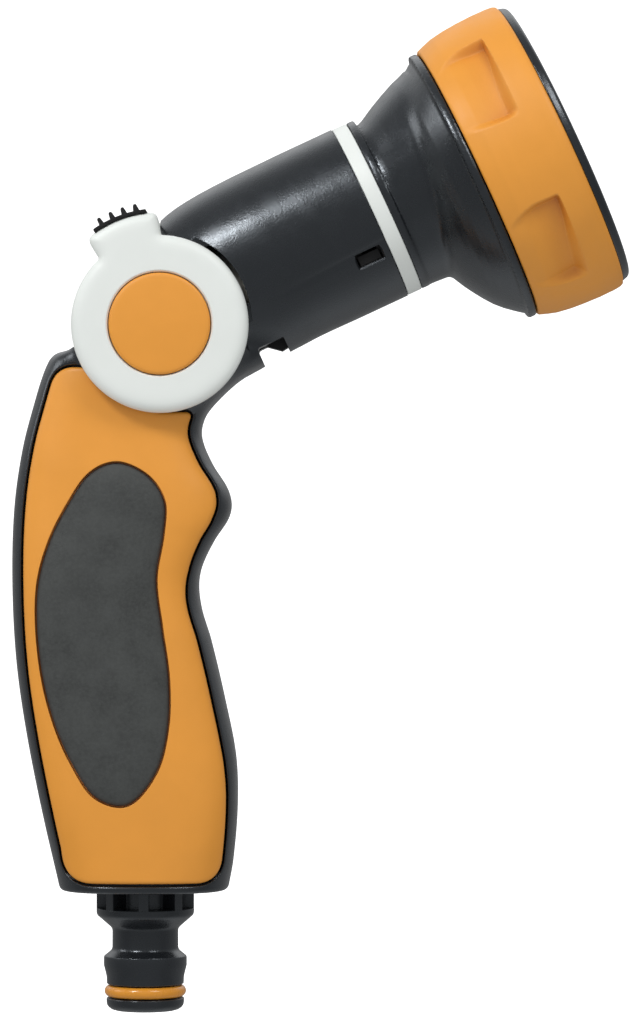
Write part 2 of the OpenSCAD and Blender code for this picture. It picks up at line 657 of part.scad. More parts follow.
module front_bezel() color(dark) dial_frame() turned([[26.4, 17.45], [28.3, 17.45],
  [28.3, 19.05], [30.4, 19.05], [30.35, 19.4], [30.05, 19.95], [29.5, 20.45], [28.7, 20.8],
  [27.8, 20.9], [27.1, 20.75], [26.7, 20.3], [26.4, 19.5]]);
module spray_plate() color(soft) dial_frame() difference() {
  turned([[0, 0], [26.3, 0], [26.3, 1.9], [22, 2.5], [14, 2.9], [0, 3.1]], start = 16.65);
  // two rings of shower holes
  for (k = [0 : 1]) around(12 + 6 * k) translate([0, 0, 8.6 + 3.4 * k]) drum(0.6, 16, 21);
  drum(3.2, 16, 21);
  // fan slots between the mist holes
  around(mist_count, 0.5) translate([16, -3.2, 18.2]) cube([5, 6.4, 0.9]);
  around(mist_count) translate([0, 0, mist_z]) drum(2.1, 16, 21);
}
module jet_nozzle() color(orange) dial_frame() turned([[1.3, 0], [3.1, 0], [3.1, 3.1],
  [4.3, 3.15], [3.7, 4.1], [2.3, 4.1], [1.9, 3.6], [1.3, 3]], 72, 16.7);
module mist_nozzles() color(orange) dial_frame() around(mist_count) translate([0, 0, mist_z])
  turned([[0.45, 0], [2.02, 0], [2.02, 2.9], [1.5, 3.3], [1.0, 3.3], [0.45, 2.8]], 48, 16.7);

inlet_tube();
inlet_o_ring();
riser_o_ring();
left_body_shell();
right_body_shell();
left_side_panel();
right_side_panel();
left_grip_pad();
right_grip_pad();
body_screws();
valve_housing();
valve_end_cap();
valve_seat_inlet();
valve_seat_outlet();
valve_plug();
plug_o_rings();
left_lever_disc();
right_lever_disc();
thumb_bar();
thumb_grip();
left_pivot_cap();
right_pivot_cap();
lever_screws();
barrel_tube();
barrel_o_ring();
trim_ring();
bell_housing();
outlet_hub();
outlet_seal();
seal_spring();
detent_ball();
detent_spring();
dial_screw();
selector_disc();
dial_core();
grip_ring();
front_bezel();
spray_plate();
jet_nozzle();
mist_nozzles();
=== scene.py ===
# A hand-held hose nozzle: upright handle, thumb lever on a pivot drum, barrel and spray dial.
# The handle stands along +z above the inlet at the origin. The barrel and dial point to +x,
# tilted upwards. The mid-plane is y = 0; pieces named "right" lie at +y, "left" at -y.
# "Front" is +x, "back" is -x. Lengths are millimetres until MM turns them into metres.
import math
from contextlib import contextmanager
from functools import cached_property

import bpy
import bmesh
import numpy as np
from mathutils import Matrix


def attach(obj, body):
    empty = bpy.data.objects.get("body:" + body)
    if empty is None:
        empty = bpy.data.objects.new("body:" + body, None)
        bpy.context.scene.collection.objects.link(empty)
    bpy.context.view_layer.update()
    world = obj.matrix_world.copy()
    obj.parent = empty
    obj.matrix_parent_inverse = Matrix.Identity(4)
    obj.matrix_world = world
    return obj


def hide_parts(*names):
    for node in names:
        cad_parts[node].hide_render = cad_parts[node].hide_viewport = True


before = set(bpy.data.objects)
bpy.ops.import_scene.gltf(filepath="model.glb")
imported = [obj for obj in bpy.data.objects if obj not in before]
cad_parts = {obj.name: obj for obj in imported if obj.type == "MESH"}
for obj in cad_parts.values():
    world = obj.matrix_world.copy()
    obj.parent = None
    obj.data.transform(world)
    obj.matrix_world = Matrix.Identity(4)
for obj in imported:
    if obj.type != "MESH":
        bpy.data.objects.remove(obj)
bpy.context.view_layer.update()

import openvdb as vdb
from mathutils import Vector, Matrix
from mathutils.geometry import delaunay_2d_cdt

# ----------------------------------------------------------------------------------------
# Driving dimensions
# ----------------------------------------------------------------------------------------
MM = 0.001
PIVOT_X, PIVOT_Z = 3.5, 139.9             # lever pivot
DIAL_X, DIAL_Z = 67.9, 169.2              # centre of the dial's rear edge
TILT = math.radians(25.0)
COS_TILT, SIN_TILT = math.cos(TILT), math.sin(TILT)
BARREL_RISE = 3.95                        # barrel axis above the dial axis
BARREL_RADIUS = 18.7
BARREL_REAR = -66                         # along the dial axis
HANDLE_BOTTOM, HANDLE_TOP = 24.8, 134.7
OUTLINE_STEP = 0.5                        # point spacing along inlay outlines

# handle stations: (z, x of the back edge)
BACK = [
    (24.8, -17.4), (38.8, -20.5), (57.3, -24.15), (72, -26.2), (88, -27.0),
    (103, -26.6), (115, -24.9), (124.9, -22.35), (130.5, -20.6), (134.7, -18.7)]
# (z, x of the front edge)
FRONT = [
    (24.8, 17), (31, 18.1), (42, 18.95), (52, 18.6), (63.4, 16.4), (75.7, 13.5), (82, 11.6),
    (87, 11), (91, 11.7), (96.2, 14.2), (100.5, 17), (103.6, 17.7), (107, 16.8), (112, 13.7),
    (117.5, 11.6), (121.5, 12.3), (124.9, 14.5), (128, 17.8), (131.9, 23.8), (134.7, 26.2)]
# (z, half thickness in y)
HALF = [
    (24.8, 16.2), (45, 16.8), (75, 16.6), (95, 16.2), (110, 15.3), (121, 14.35),
    (134.7, 14.1)]
# grip pad outline: (x, z)
PAD = [
    (-5.2, 111.9), (0.9, 109.3), (4.3, 104.1), (4.1, 97.3), (2.7, 88.4), (3.8, 78.8),
    (5.2, 68.6), (5.1, 58.8), (2.8, 49.6), (-2.8, 43), (-9.5, 44.4), (-14.2, 51.1),
    (-17.8, 59.3), (-20.3, 69), (-21.4, 79.6), (-21, 88.2), (-18.8, 96), (-15.4, 102.9),
    (-10.9, 109.5)]


# ----------------------------------------------------------------------------------------
# Handle surface and distance functions
# ----------------------------------------------------------------------------------------
def curve(table, at):
    """Cubic Hermite curve through a table, with slopes taken from the neighbours."""
    x, y = np.array(table, float).T
    slope = np.empty(len(x))
    slope[0] = (y[1] - y[0]) / (x[1] - x[0])
    slope[-1] = (y[-1] - y[-2]) / (x[-1] - x[-2])
    slope[1:-1] = (y[2:] - y[:-2]) / (x[2:] - x[:-2])
    at = np.clip(at, x[0], x[-1])
    i = np.clip(np.searchsorted(x, at, side="right") - 1, 0, len(x) - 2)
    gap = x[i + 1] - x[i]
    s = (at - x[i]) / gap
    return ((2 * s**3 - 3 * s**2 + 1) * y[i] + (s**3 - 2 * s**2 + s) * gap * slope[i]
            + (3 * s**2 - 2 * s**3) * y[i + 1] + (s**3 - s**2) * gap * slope[i + 1])


def smoothstep(t):
    t = np.clip(t, 0, 1)
    return t * t * (3 - 2 * t)


# fine tables, so that a lookup is one interpolation
FINE_Z = np.linspace(HANDLE_BOTTOM - 3, HANDLE_TOP + 3, 2400)
FINE_BACK, FINE_FRONT, FINE_HALF = (curve(table, FINE_Z) for table in (BACK, FRONT, HALF))
# superellipse power of the cross-section: rounder at the foot
FINE_POWER = 2.7 + 1.3 * smoothstep((FINE_Z - HANDLE_BOTTOM) / 22)


def power_at(z):
    return np.interp(z, FINE_Z, FINE_POWER)


def edges_at(z):
    """Back edge, front edge and half thickness of the handle."""
    return tuple(np.interp(z, FINE_Z, t) for t in (FINE_BACK, FINE_FRONT, FINE_HALF))


def side_y(x, z):
    """Half thickness of the handle at x, z."""
    back, front, half = edges_at(z)
    across = np.minimum(np.abs(2 * x - back - front) / (front - back), 0.9999)
    power = power_at(z)
    return half * (1 - across**power) ** (1 / power)


def smooth_min(a, b, blend):
    h = np.maximum(blend - np.abs(a - b), 0) / blend
    return np.minimum(a, b) - h * h * blend * 0.25


def smooth_max(a, b, blend):
    return -smooth_min(-a, -b, blend)


def to_dial(x, z):
    """Distances along and above the dial axis."""
    dx, dz = x - DIAL_X, z - DIAL_Z
    return dx * COS_TILT + dz * SIN_TILT, -dx * SIN_TILT + dz * COS_TILT


def signed_distance(px, py, polygon):
    """Distance to a closed polygon, negative inside, for arrays of any shape."""
    starts = np.array(polygon, float)
    nearest = np.full(px.shape, 1e18)
    inside = np.zeros(px.shape, bool)
    for (ax, ay), (bx, by) in zip(starts, np.roll(starts, -1, 0)):
        ex, ey = bx - ax, by - ay
        wx, wy = px - ax, py - ay
        t = np.clip((wx * ex + wy * ey) / (ex * ex + ey * ey + 1e-18), 0, 1)
        nearest = np.minimum(nearest, (wx - t * ex) ** 2 + (wy - t * ey) ** 2)
        if ey != 0:
            crosses = (ay > py) != (by > py)
            inside ^= crosses & (px < (bx - ax) * (py - ay) / ey + ax)
    return np.where(inside, -1, 1) * np.sqrt(nearest)


# ----------------------------------------------------------------------------------------
# Mesh tools
# ----------------------------------------------------------------------------------------
def add_object(name, data):
    obj = bpy.data.objects.new(name, data)
    bpy.context.scene.collection.objects.link(obj)
    return obj


def mesh_object(name, verts, faces, scale=MM):
    mesh = bpy.data.meshes.new(name)
    points = (np.asarray(verts, float) * scale).tolist()
    mesh.from_pydata(points, [], [list(map(int, face)) for face in faces])
    mesh.validate(verbose=False)
    mesh.update()
    return add_object(name, mesh)


def fast_object(name, verts, *face_groups):
    """The same for large arrays; each group holds faces with one number of corners."""
    groups = [np.asarray(group) for group in face_groups if len(group)]
    loops = np.concatenate([group.reshape(-1) for group in groups]).astype(np.int32)
    sizes = np.concatenate([np.full(len(group), group.shape[1]) for group in groups])
    starts = np.concatenate([[0], np.cumsum(sizes)[:-1]]).astype(np.int32)
    points = (np.asarray(verts, np.float64) * MM).astype(np.float32)
    mesh = bpy.data.meshes.new(name)
    mesh.vertices.add(len(verts))
    mesh.vertices.foreach_set("co", points.reshape(-1))
    mesh.loops.add(len(loops))
    mesh.loops.foreach_set("vertex_index", loops)
    mesh.polygons.add(len(sizes))
    mesh.polygons.foreach_set("loop_start", starts)
    mesh.update(calc_edges=True)
    mesh.validate(verbose=False)
    return add_object(name, mesh)


@contextmanager
def edit_mesh(obj):
    """Opens an object's mesh for editing and writes it back."""
    work = bmesh.new()
    work.from_mesh(obj.data)
    yield work
    work.to_mesh(obj.data)
    work.free()


def fix_normals(obj):
    with edit_mesh(obj) as work:
        bmesh.ops.recalc_face_normals(work, faces=work.faces)
        if work.calc_volume(signed=True) < 0:
            bmesh.ops.reverse_faces(work, faces=work.faces)
    return obj


def bake(obj):
    """Applies the modifiers to the mesh."""
    depsgraph = bpy.context.evaluated_depsgraph_get()
    mesh = bpy.data.meshes.new_from_object(obj.evaluated_get(depsgraph))
    obj.modifiers.clear()
    old = obj.data
    obj.data = mesh
    mesh.name = obj.name
    bpy.data.meshes.remove(old)
    return obj


def cut(obj, *cutters, operation="DIFFERENCE"):
    """Applies each cutter in turn, then removes them all."""
    for cutter in cutters:
        modifier = obj.modifiers.new("cut", "BOOLEAN")
        modifier.operation = operation
        modifier.solver = "MANIFOLD"
        modifier.object = cutter
        bake(obj)
    for cutter in cutters:
        mesh = cutter.data
        bpy.data.objects.remove(cutter)
        bpy.data.meshes.remove(mesh)


def copy_of(obj, name):
    return add_object(name, obj.data.copy())


def mirrored(obj, name):
    """The same piece on the other side of the mid-plane."""
    twin = copy_of(obj, name)
    mesh = twin.data
    coords = np.empty(len(mesh.vertices) * 3, np.float32)
    mesh.vertices.foreach_get("co", coords)
    coords[1::3] *= -1
    mesh.vertices.foreach_set("co", coords)
    mesh.flip_normals()
    mesh.update()
    return twin


def bevel(obj, width, segments):
    modifier = obj.modifiers.new("bevel", "BEVEL")
    modifier.width = width * MM
    modifier.segments = segments
    modifier.limit_method = "ANGLE"
    modifier.angle_limit = math.radians(50)
    return bake(obj)


def place(obj, matrix):
    obj.data.transform(matrix)
    if matrix.to_3x3().determinant() < 0:
        obj.data.flip_normals()
    obj.data.update()
    return obj


def finish(piece, slot, body="nozzle_body", angle=32, node=None):
    """Shades a piece and attaches it to its body.

    The material is named like its slot. The CAD node it replaces has the piece's own
    name without "_skin" unless given; an empty one replaces nothing.
    """
    mesh = piece.data
    mesh.polygons.foreach_set("use_smooth", np.ones(len(mesh.polygons), bool))
    mesh.set_sharp_from_angle(angle=math.radians(angle))
    mesh.update()
    mesh.materials.clear()
    mesh.materials.append(MATERIALS[slot])
    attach(piece, body)
    if node is None:
        node = piece.name.removesuffix("_skin")
    if node:
        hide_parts(node)


def finish_pair(right, slot, **options):
    """Mirrors a right-hand piece and finishes both."""
    left = mirrored(right, right.name.replace("right", "left"))
    for piece in (right, left):
        finish(piece, slot, **options)


# --- profiles and simple solids ---
def dense(profile, step):
    """A profile's points, with long stretches split so that shading stays even."""
    points = []
    for start, end in zip(profile[:-1], profile[1:]):
        count = max(1, int(math.ceil(math.dist(start, end) / step)))
        for k in range(count):
            t = k / count
            points.append((start[0] + (end[0] - start[0]) * t,
                           start[1] + (end[1] - start[1]) * t))
    points.append(profile[-1])
    return points


def dense_loop(profile, step):
    return dense([*profile, profile[0]], step)[:-1]


def rounded_profile(corners, segments=5):
    """Closed polygon from (x, y, rounding) corners; a rounding of 0 keeps a corner."""
    points = []
    for i, (x, y, radius) in enumerate(corners):
        corner = np.array((x, y), float)
        if radius <= 0:
            points.append((x, y))
            continue
        to_last = np.array(corners[i - 1][:2], float) - corner
        to_next = np.array(corners[(i + 1) % len(corners)][:2], float) - corner
        last_length, next_length = np.linalg.norm(to_last), np.linalg.norm(to_next)
        to_last, to_next = to_last / last_length, to_next / next_length
        angle = math.acos(max(-1, min(1, float(to_last @ to_next))))
        trim = min(radius / math.tan(angle / 2), 0.48 * last_length, 0.48 * next_length)
        start, end = corner + to_last * trim, corner + to_next * trim
        for k in range(segments + 1):
            t = k / segments
            points.append(tuple((1 - t) ** 2 * start + 2 * t * (1 - t) * corner + t * t * end))
    return points


def lathe(name, profile, segments=192):
    """Closed profile of (axial, radius) points turned about the local x axis."""
    profile = np.array(profile, float)
    count = len(profile)
    theta = np.linspace(0, 2 * math.pi, segments, endpoint=False)
    verts, index = [], np.zeros((count, segments), int)
    for i, (along, radius) in enumerate(profile):
        if abs(radius) < 1e-6:
            index[i, :] = len(verts)
            verts.append((along, 0, 0))
        else:
            index[i, :] = len(verts) + np.arange(segments)
            verts.extend(zip(np.full(segments, along),
                             radius * np.sin(theta), radius * np.cos(theta)))
    faces = []
    for i in range(count):
        j = (i + 1) % count
        i_on_axis, j_on_axis = abs(profile[i, 1]) < 1e-6, abs(profile[j, 1]) < 1e-6
        if i_on_axis and j_on_axis:
            continue
        for k in range(segments):
            m = (k + 1) % segments
            if i_on_axis:
                faces.append((index[i, k], index[j, m], index[j, k]))
            elif j_on_axis:
                faces.append((index[i, k], index[i, m], index[j, k]))
            else:
                faces.append((index[i, k], index[i, m], index[j, m], index[j, k]))
    return fix_normals(mesh_object(name, verts, faces))


def block(low, high):
    verts = [(x, y, z) for x in (low[0], high[0])
             for y in (low[1], high[1]) for z in (low[2], high[2])]
    faces = [(0, 1, 3, 2), (4, 6, 7, 5), (0, 4, 5, 1), (2, 3, 7, 6), (0, 2, 6, 4), (1, 5, 7, 3)]
    return fix_normals(mesh_object("block", verts, faces))


def plate_xz(name, outline, y0, y1):
    """An outline in the x-z plane, extruded from y0 to y1."""
    n = len(outline)
    verts = [(x, y0, z) for x, z in outline] + [(x, y1, z) for x, z in outline]
    faces = [list(range(n)), list(range(2 * n - 1, n - 1, -1))]
    faces += [(i, i + n, (i + 1) % n + n, (i + 1) % n) for i in range(n)]
    return fix_normals(mesh_object(name, verts, faces))


def on_circle(x, z, radius, angle):
    return x + radius * math.cos(angle), z + radius * math.sin(angle)


def cylinder_y(x, z, radius, y0, y1, segments=128):
    outline = [on_circle(x, z, radius, 2 * math.pi * k / segments) for k in range(segments)]
    return plate_xz("cylinder", outline, y0, y1)


def drum(radius, x0, x1, matrix):
    """Cylinder about the local x axis."""
    return place(lathe("drum", [(x0, 0), (x0, radius), (x1, radius), (x1, 0)], 128), matrix)


def ring_faces(rings, size, closed=False):
    """Quads between neighbouring rings of equal size."""
    faces = []
    for a in range(rings if closed else rings - 1):
        b = (a + 1) % rings
        for i in range(size):
            j = (i + 1) % size
            faces.append((a * size + i, a * size + j, b * size + j, b * size + i))
    return faces


# local frames: dial axis, barrel axis, lever pivot with local x along +y, and inlet
# with local x along +z
DIAL = Matrix(((COS_TILT, 0, -SIN_TILT, DIAL_X * MM), (0, 1, 0, 0),
               (SIN_TILT, 0, COS_TILT, DIAL_Z * MM), (0, 0, 0, 1)))
BARREL = DIAL @ Matrix.Translation((0, 0, BARREL_RISE * MM))
PIVOT_OUT = Matrix(((0, 0, -1, PIVOT_X * MM), (1, 0, 0, 0), (0, -1, 0, PIVOT_Z * MM),
                    (0, 0, 0, 1)))
INLET_UP = Matrix(((0, 0, 1, 0), (0, 1, 0, 0), (1, 0, 0, 0), (0, 0, 0, 1)))


def implicit(name, distance, low, high, cell):
    """The zero surface of a distance function, with its points drawn onto the surface."""
    counts = [int(math.ceil((high[i] - low[i]) / cell)) + 1 for i in range(3)]
    axes = [low[i] + cell * np.arange(counts[i]) for i in range(3)]
    values = np.empty(counts, np.float32)
    Y, Z = np.meshgrid(axes[1], axes[2], indexing="ij")
    # in slabs, to limit memory
    for i in range(0, counts[0], 16):
        X = axes[0][i:i + 16][:, None, None]
        values[i:i + 16] = distance(X + 0 * Y[None], Y[None] + 0 * X, Z[None] + 0 * X)
    band = 3 * cell
    grid = vdb.FloatGrid(band)
    grid.copyFromArray(np.clip(values, -band, band), tolerance=0.0)
    points, tris, quads = grid.convertToPolygons(isovalue=0.0, adaptivity=0.0)
    points = np.asarray(points, np.float64) * cell + np.array(low)
    nudge = 0.04
    for _ in range(4):
        x, y, z = points.T
        value = distance(x, y, z)
        gx = (distance(x + nudge, y, z) - distance(x - nudge, y, z)) / (2 * nudge)
        gy = (distance(x, y + nudge, z) - distance(x, y - nudge, z)) / (2 * nudge)
        gz = (distance(x, y, z + nudge) - distance(x, y, z - nudge)) / (2 * nudge)
        steepness = gx * gx + gy * gy + gz * gz + 1e-6
        step = np.clip(value / steepness, -cell, cell)
        points -= np.stack([step * gx, step * gy, step * gz], 1)
    return fix_normals(fast_object(name, points, quads, tris))


# --- outlines and inlays ---
def resample(loop, step):
    points = np.array(loop, float)
    ring = np.vstack([points, points[:1]])
    run = np.concatenate([[0], np.cumsum(np.hypot(*np.diff(ring, axis=0).T))])
    count = max(12, int(round(run[-1] / step)))
    at = np.linspace(0, run[-1], count, endpoint=False)
    return np.stack([np.interp(at, run, ring[:, 0]), np.interp(at, run, ring[:, 1])], 1)


def counter_clockwise(loop):
    x, y = loop[:, 0], loop[:, 1]
    area = 0.5 * np.sum(x * np.roll(y, -1) - np.roll(x, -1) * y)
    return loop[::-1] if area < 0 else loop


def inset(loop, distance):
    """Moves a counter-clockwise loop inwards (outwards if negative)."""
    along = np.roll(loop, -1, 0) - np.roll(loop, 1, 0)
    along /= np.hypot(along[:, 0], along[:, 1])[:, None] + 1e-12
    return loop + distance * np.stack([-along[:, 1], along[:, 0]], 1)


def smooth_loop(points):
    """Catmull-Rom curve through the points."""
    p = np.array(points, float)
    loop = []
    for i in range(len(p)):
        a, b, c, d = p[i - 1], p[i], p[(i + 1) % len(p)], p[(i + 2) % len(p)]
        for t in np.linspace(0, 1, 24, endpoint=False):
            loop.append(0.5 * (2 * b + t * (c - a) + t * t * (2 * a - 5 * b + 4 * c - d)
                               + t**3 * (3 * b - a - 3 * c + d)))
    return np.array(loop)


def ease(loop, corner, length):
    """Rounds the corner of a loop nearest to a point, over a length to each side."""
    step = 0.1
    points = resample(loop, step)
    nearest = int(np.argmin(np.hypot(points[:, 0] - corner[0], points[:, 1] - corner[1])))
    reach = int(length / step)
    points = np.roll(points, -(nearest - reach), 0)
    start, middle, end = points[0], points[reach], points[2 * reach]
    t = np.linspace(0, 1, 2 * reach + 1)[:, None]
    points[:2 * reach + 1] = (1 - t) ** 2 * start + 2 * t * (1 - t) * middle + t * t * end
    return points


def panel_outline():
    """Side panel: follows the handle's edges, with an arc that clears the lever disc."""
    bottom, front_top, back_top = 26.9, 122.3, 131.3
    arc_radius = 16.2
    # correction in x of the front edge, by z
    shift_z = [45, 55, 84, 90, 96, 101, 106, 115]
    shift_x = [0.35, 0, 0, 0.3, -0.2, -0.6, -0.1, 0]
    front_z = np.linspace(bottom, front_top, 400)
    back_z = np.linspace(back_top, bottom, 420)
    front_x = edges_at(front_z)[1] - 2.6 + np.interp(front_z, shift_z, shift_x)
    back_x = edges_at(back_z)[0] + 2.8 + np.interp(back_z, [27, 34], [-0.7, 0])
    front = np.stack([front_x, front_z], 1)
    back = np.stack([back_x, back_z], 1)
    arc_start = math.asin(-0.5 / arc_radius) - math.pi / 2
    arc_end = -math.pi - math.asin((back_top - PIVOT_Z) / arc_radius)
    arc = np.array([on_circle(PIVOT_X, PIVOT_Z, arc_radius, angle)
                    for angle in np.linspace(arc_start, arc_end, 90)])
    foot = np.linspace(back[-1], front[0], 120)[1:-1]
    loop = np.vstack([front, [(3.0, front_top)], arc, back, foot])
    for corner, length in ((front[-1], 1.7), (arc[-1], 1.0), (back[0], 3.4),
                           (back[-1], 5.6), (front[0], 4.4)):
        loop = ease(loop, corner, length)
    return loop


PANEL_OUTLINE = panel_outline()
PAD_OUTLINE = smooth_loop(PAD)


def edge_drop(distance, radius):
    """How far a rounded edge lies below the surface at a distance from its border."""
    t = np.clip(1 - distance / radius, 0, 1)
    return radius * (1 - (1 - t**2) ** (1 / 2))


def inlay(name, outline, top, bottom, radius, step=OUTLINE_STEP, pitch=1.1):
    """Closed solid over an outline in x-z.

    top(x, z, distance from the border) and bottom(x, z) give y. Rings of points follow
    the rounded border, spaced by its radius; a triangular grid of the pitch fills the rest.
    """
    base = counter_clockwise(resample(outline, step))
    distances = [k * radius for k in (0.04, 0.13, 0.28, 0.5, 0.78, 1.15)]
    groups = [base]
    for distance in distances:
        ring = inset(base, distance)
        kept = signed_distance(ring[:, 0], ring[:, 1], base) < -0.93 * distance
        groups.append(ring[kept])
    low, high = base.min(0), base.max(0)
    rows = []
    for row, z in enumerate(np.arange(low[1], high[1], pitch * 0.866)):
        xs = np.arange(low[0] + (0.5 * pitch if row % 2 else 0), high[0], pitch)
        rows.append(np.stack([xs, np.full(len(xs), z)], 1))
    grid = np.vstack(rows)
    margin = distances[-1] + pitch * 0.6
    groups.append(grid[signed_distance(grid[:, 0], grid[:, 1], base) < -margin])

    border = [(i, (i + 1) % len(base)) for i in range(len(base))]
    result = delaunay_2d_cdt([Vector(p) for p in np.vstack(groups)], border, [], 0, 1e-5)
    points = np.array([(v[0], v[1]) for v in result[0]])
    triangles = np.array([t for t in result[2] if len(t) == 3])
    centres = points[triangles].mean(1)
    triangles = triangles[signed_distance(centres[:, 0], centres[:, 1], base) < 0]

    x, z = points[:, 0], points[:, 1]
    depth = np.maximum(-signed_distance(x, z, base), 0)
    verts = np.vstack([np.stack([x, top(x, z, depth), z], 1),
                       np.stack([x, bottom(x, z), z], 1)])
    m = len(points)
    faces = [tuple(t) for t in triangles]
    faces += [(t[2] + m, t[1] + m, t[0] + m) for t in triangles]
    # walls along the open edges of the kept triangles
    open_edges = {}
    for t in triangles:
        for a, b in ((t[0], t[1]), (t[1], t[2]), (t[2], t[0])):
            if (b, a) in open_edges:
                del open_edges[(b, a)]
            else:
                open_edges[(a, b)] = True
    faces += [(b, a, a + m, b + m) for a, b in open_edges]
    solid = mesh_object(name, verts, faces)
    with edit_mesh(solid) as work:
        loose = [v for v in work.verts if not v.link_faces]
        bmesh.ops.delete(work, geom=loose, context="VERTS")
    return fix_normals(solid)


# ----------------------------------------------------------------------------------------
# Materials
# ----------------------------------------------------------------------------------------
def srgb(*channels):
    """Linear colour from 0-255 sRGB channels."""
    def linear(c):
        return c / 12.92 if c <= 0.04045 else ((c + 0.055) / 1.055) ** 2.4
    return (*(linear(c / 255) for c in channels), 1.0)


def scaled(color, factor):
    return (*(min(1, c * factor) for c in color[:3]), 1.0)


class Shader:
    """Builds the node tree of a material or world."""

    def __init__(self, owner):
        self.owner = owner
        owner.use_nodes = True
        self.tree = owner.node_tree

    def find(self, kind):
        return next(node for node in self.tree.nodes if node.type == kind)

    @cached_property
    def object_coords(self):
        return self.new("ShaderNodeTexCoord").outputs["Object"]

    def feed(self, node, inputs):
        """Links sockets to a node's inputs and sets plain values."""
        for key, value in inputs.items():
            if isinstance(value, bpy.types.NodeSocket):
                self.tree.links.new(value, node.inputs[key])
            else:
                node.inputs[key].default_value = value

    def new(self, kind, inputs=None, **settings):
        node = self.tree.nodes.new(kind)
        for key, value in settings.items():
            setattr(node, key, value)
        self.feed(node, inputs or {})
        return node

    def noise(self, scale, detail, rough, vector=None):
        return self.new("ShaderNodeTexNoise", {
            "Scale": scale, "Detail": detail, "Roughness": rough,
            "Vector": vector or self.object_coords}).outputs["Fac"]

    def ramp(self, value, span, to=(0, 1), **settings):
        """Maps a span of values to another, clamped."""
        return self.new("ShaderNodeMapRange", {
            "From Min": span[0], "From Max": span[1], "To Min": to[0], "To Max": to[1],
            "Value": value}, **settings).outputs["Result"]

    def math(self, operation, a, b):
        return self.new("ShaderNodeMath", {0: a, 1: b}, operation=operation).outputs[0]

    def mix(self, factor, a, b):
        return self.new("ShaderNodeMix", {0: factor, 6: a, 7: b}, data_type="RGBA").outputs[2]

    def bump(self, **inputs):
        return self.new("ShaderNodeBump", inputs).outputs["Normal"]


def plastic(name, color, rough, vary, grain, edge, bevel_radius, edge_color=None,
            grain_scale=2600, mottle=90, spec=0.5, tint=None, rough_var=0.06, flow=0.0,
            coat=0.0, sheen=0.0, painted_shade_color=None):
    """Moulded plastic or rubber.

    vary, mottle: amount and scale of colour drift; grain, grain_scale: fine bumps in mm;
    flow: broad bumps in mm; edge, edge_color: rubbed edges; bevel_radius: rounding of
    edges in mm; rough_var: uneven gloss; painted_shade_color: colour of painted shade in
    hollows and at the foot of walls, where ambient occlusion finds them.
    """
    shader = Shader(bpy.data.materials.new(name))
    bsdf = shader.find("BSDF_PRINCIPLED")
    broad = shader.noise(scale=mottle, detail=3, rough=0.55)
    fine = shader.noise(scale=mottle * 9, detail=2, rough=0.6)
    tone = shader.mix(shader.ramp(broad, span=(0.3, 0.7)),
                      scaled(color, 1 - vary), scaled(color, 1 + vary))
    tone = shader.mix(shader.ramp(fine, span=(0.35, 0.75), to=(0, vary * 2.2)),
                      tone, scaled(color, 1 + 2.5 * vary))

    # rounded normal at every edge; where it turns away is the mask for wear
    rounded = shader.new("ShaderNodeBevel", {"Radius": bevel_radius * MM},
                         samples=4).outputs["Normal"]
    flat = shader.new("ShaderNodeNewGeometry").outputs["Normal"]
    facing = shader.new("ShaderNodeVectorMath", {0: rounded, 1: flat},
                        operation="DOT_PRODUCT").outputs["Value"]
    mask = shader.ramp(facing, span=(0.995, 0.86))
    patches = shader.ramp(shader.noise(scale=420, detail=4, rough=0.7),
                          span=(0.42, 0.62), to=(0.15, 1))
    wear = shader.math("MULTIPLY", shader.math("MULTIPLY", mask, patches), edge)
    tone = shader.mix(wear, tone, edge_color or scaled(color, 1.7))
    if painted_shade_color:
        # painted shade: deeper colour in hollows and at the foot of walls, where the ambient
        # occlusion node finds little light
        occlusion = shader.new("ShaderNodeAmbientOcclusion", {"Distance": 6 * MM},
                               samples=6, only_local=True).outputs["AO"]
        tone = shader.mix(shader.ramp(occlusion, span=(0.45, 0.97), to=(0.75, 0)),
                          tone, painted_shade_color)

    gloss = shader.ramp(shader.noise(scale=240, detail=4, rough=0.65),
                        span=(0.3, 0.7), to=(rough - rough_var, rough + rough_var))
    wear_rough = 0.12
    gloss = shader.math("ADD", gloss, shader.math("MULTIPLY", wear, wear_rough))
    shader.feed(bsdf, {"Base Color": tone, "Roughness": gloss, "Specular IOR Level": spec})
    if tint:
        shader.feed(bsdf, {"Specular Tint": tint})
    if coat:
        shader.feed(bsdf, {"Coat Weight": coat, "Coat Roughness": max(0.05, rough * 0.5)})
    if sheen:
        shader.feed(bsdf, {"Sheen Weight": sheen, "Sheen Roughness": 0.45})

    grains = shader.noise(scale=grain_scale, detail=2, rough=0.6)
    waves = shader.noise(scale=55, detail=2, rough=0.4)
    height = shader.math("ADD", shader.math("MULTIPLY", grains, grain),
                         shader.math("MULTIPLY", waves, flow))
    shader.feed(bsdf, {"Normal": shader.bump(
        Strength=1.0, Distance=MM, Height=height, Normal=rounded)})
    return shader.owner


def steel():
    """Steel with fine streaks along x."""
    color, rough = (0.56, 0.57, 0.58, 1), 0.28
    shader = Shader(bpy.data.materials.new("steel"))
    cloud = shader.noise(scale=900, detail=4, rough=0.6)
    tone = shader.mix(shader.ramp(cloud, span=(0.3, 0.7)),
                      scaled(color, 0.85), scaled(color, 1.08))
    stretched = shader.new("ShaderNodeMapping", {
        "Scale": (400, 6000, 6000), "Vector": shader.object_coords}).outputs["Vector"]
    streak = shader.noise(scale=1, detail=2, rough=0.5, vector=stretched)
    shader.feed(shader.find("BSDF_PRINCIPLED"), {
        "Metallic": 1.0,
        "Base Color": tone,
        "Roughness": shader.ramp(streak, span=(0.3, 0.7), to=(rough - 0.07, rough + 0.1)),
        "Normal": shader.bump(Strength=0.6, Distance=0.00001, Height=streak)})
    return shader.owner


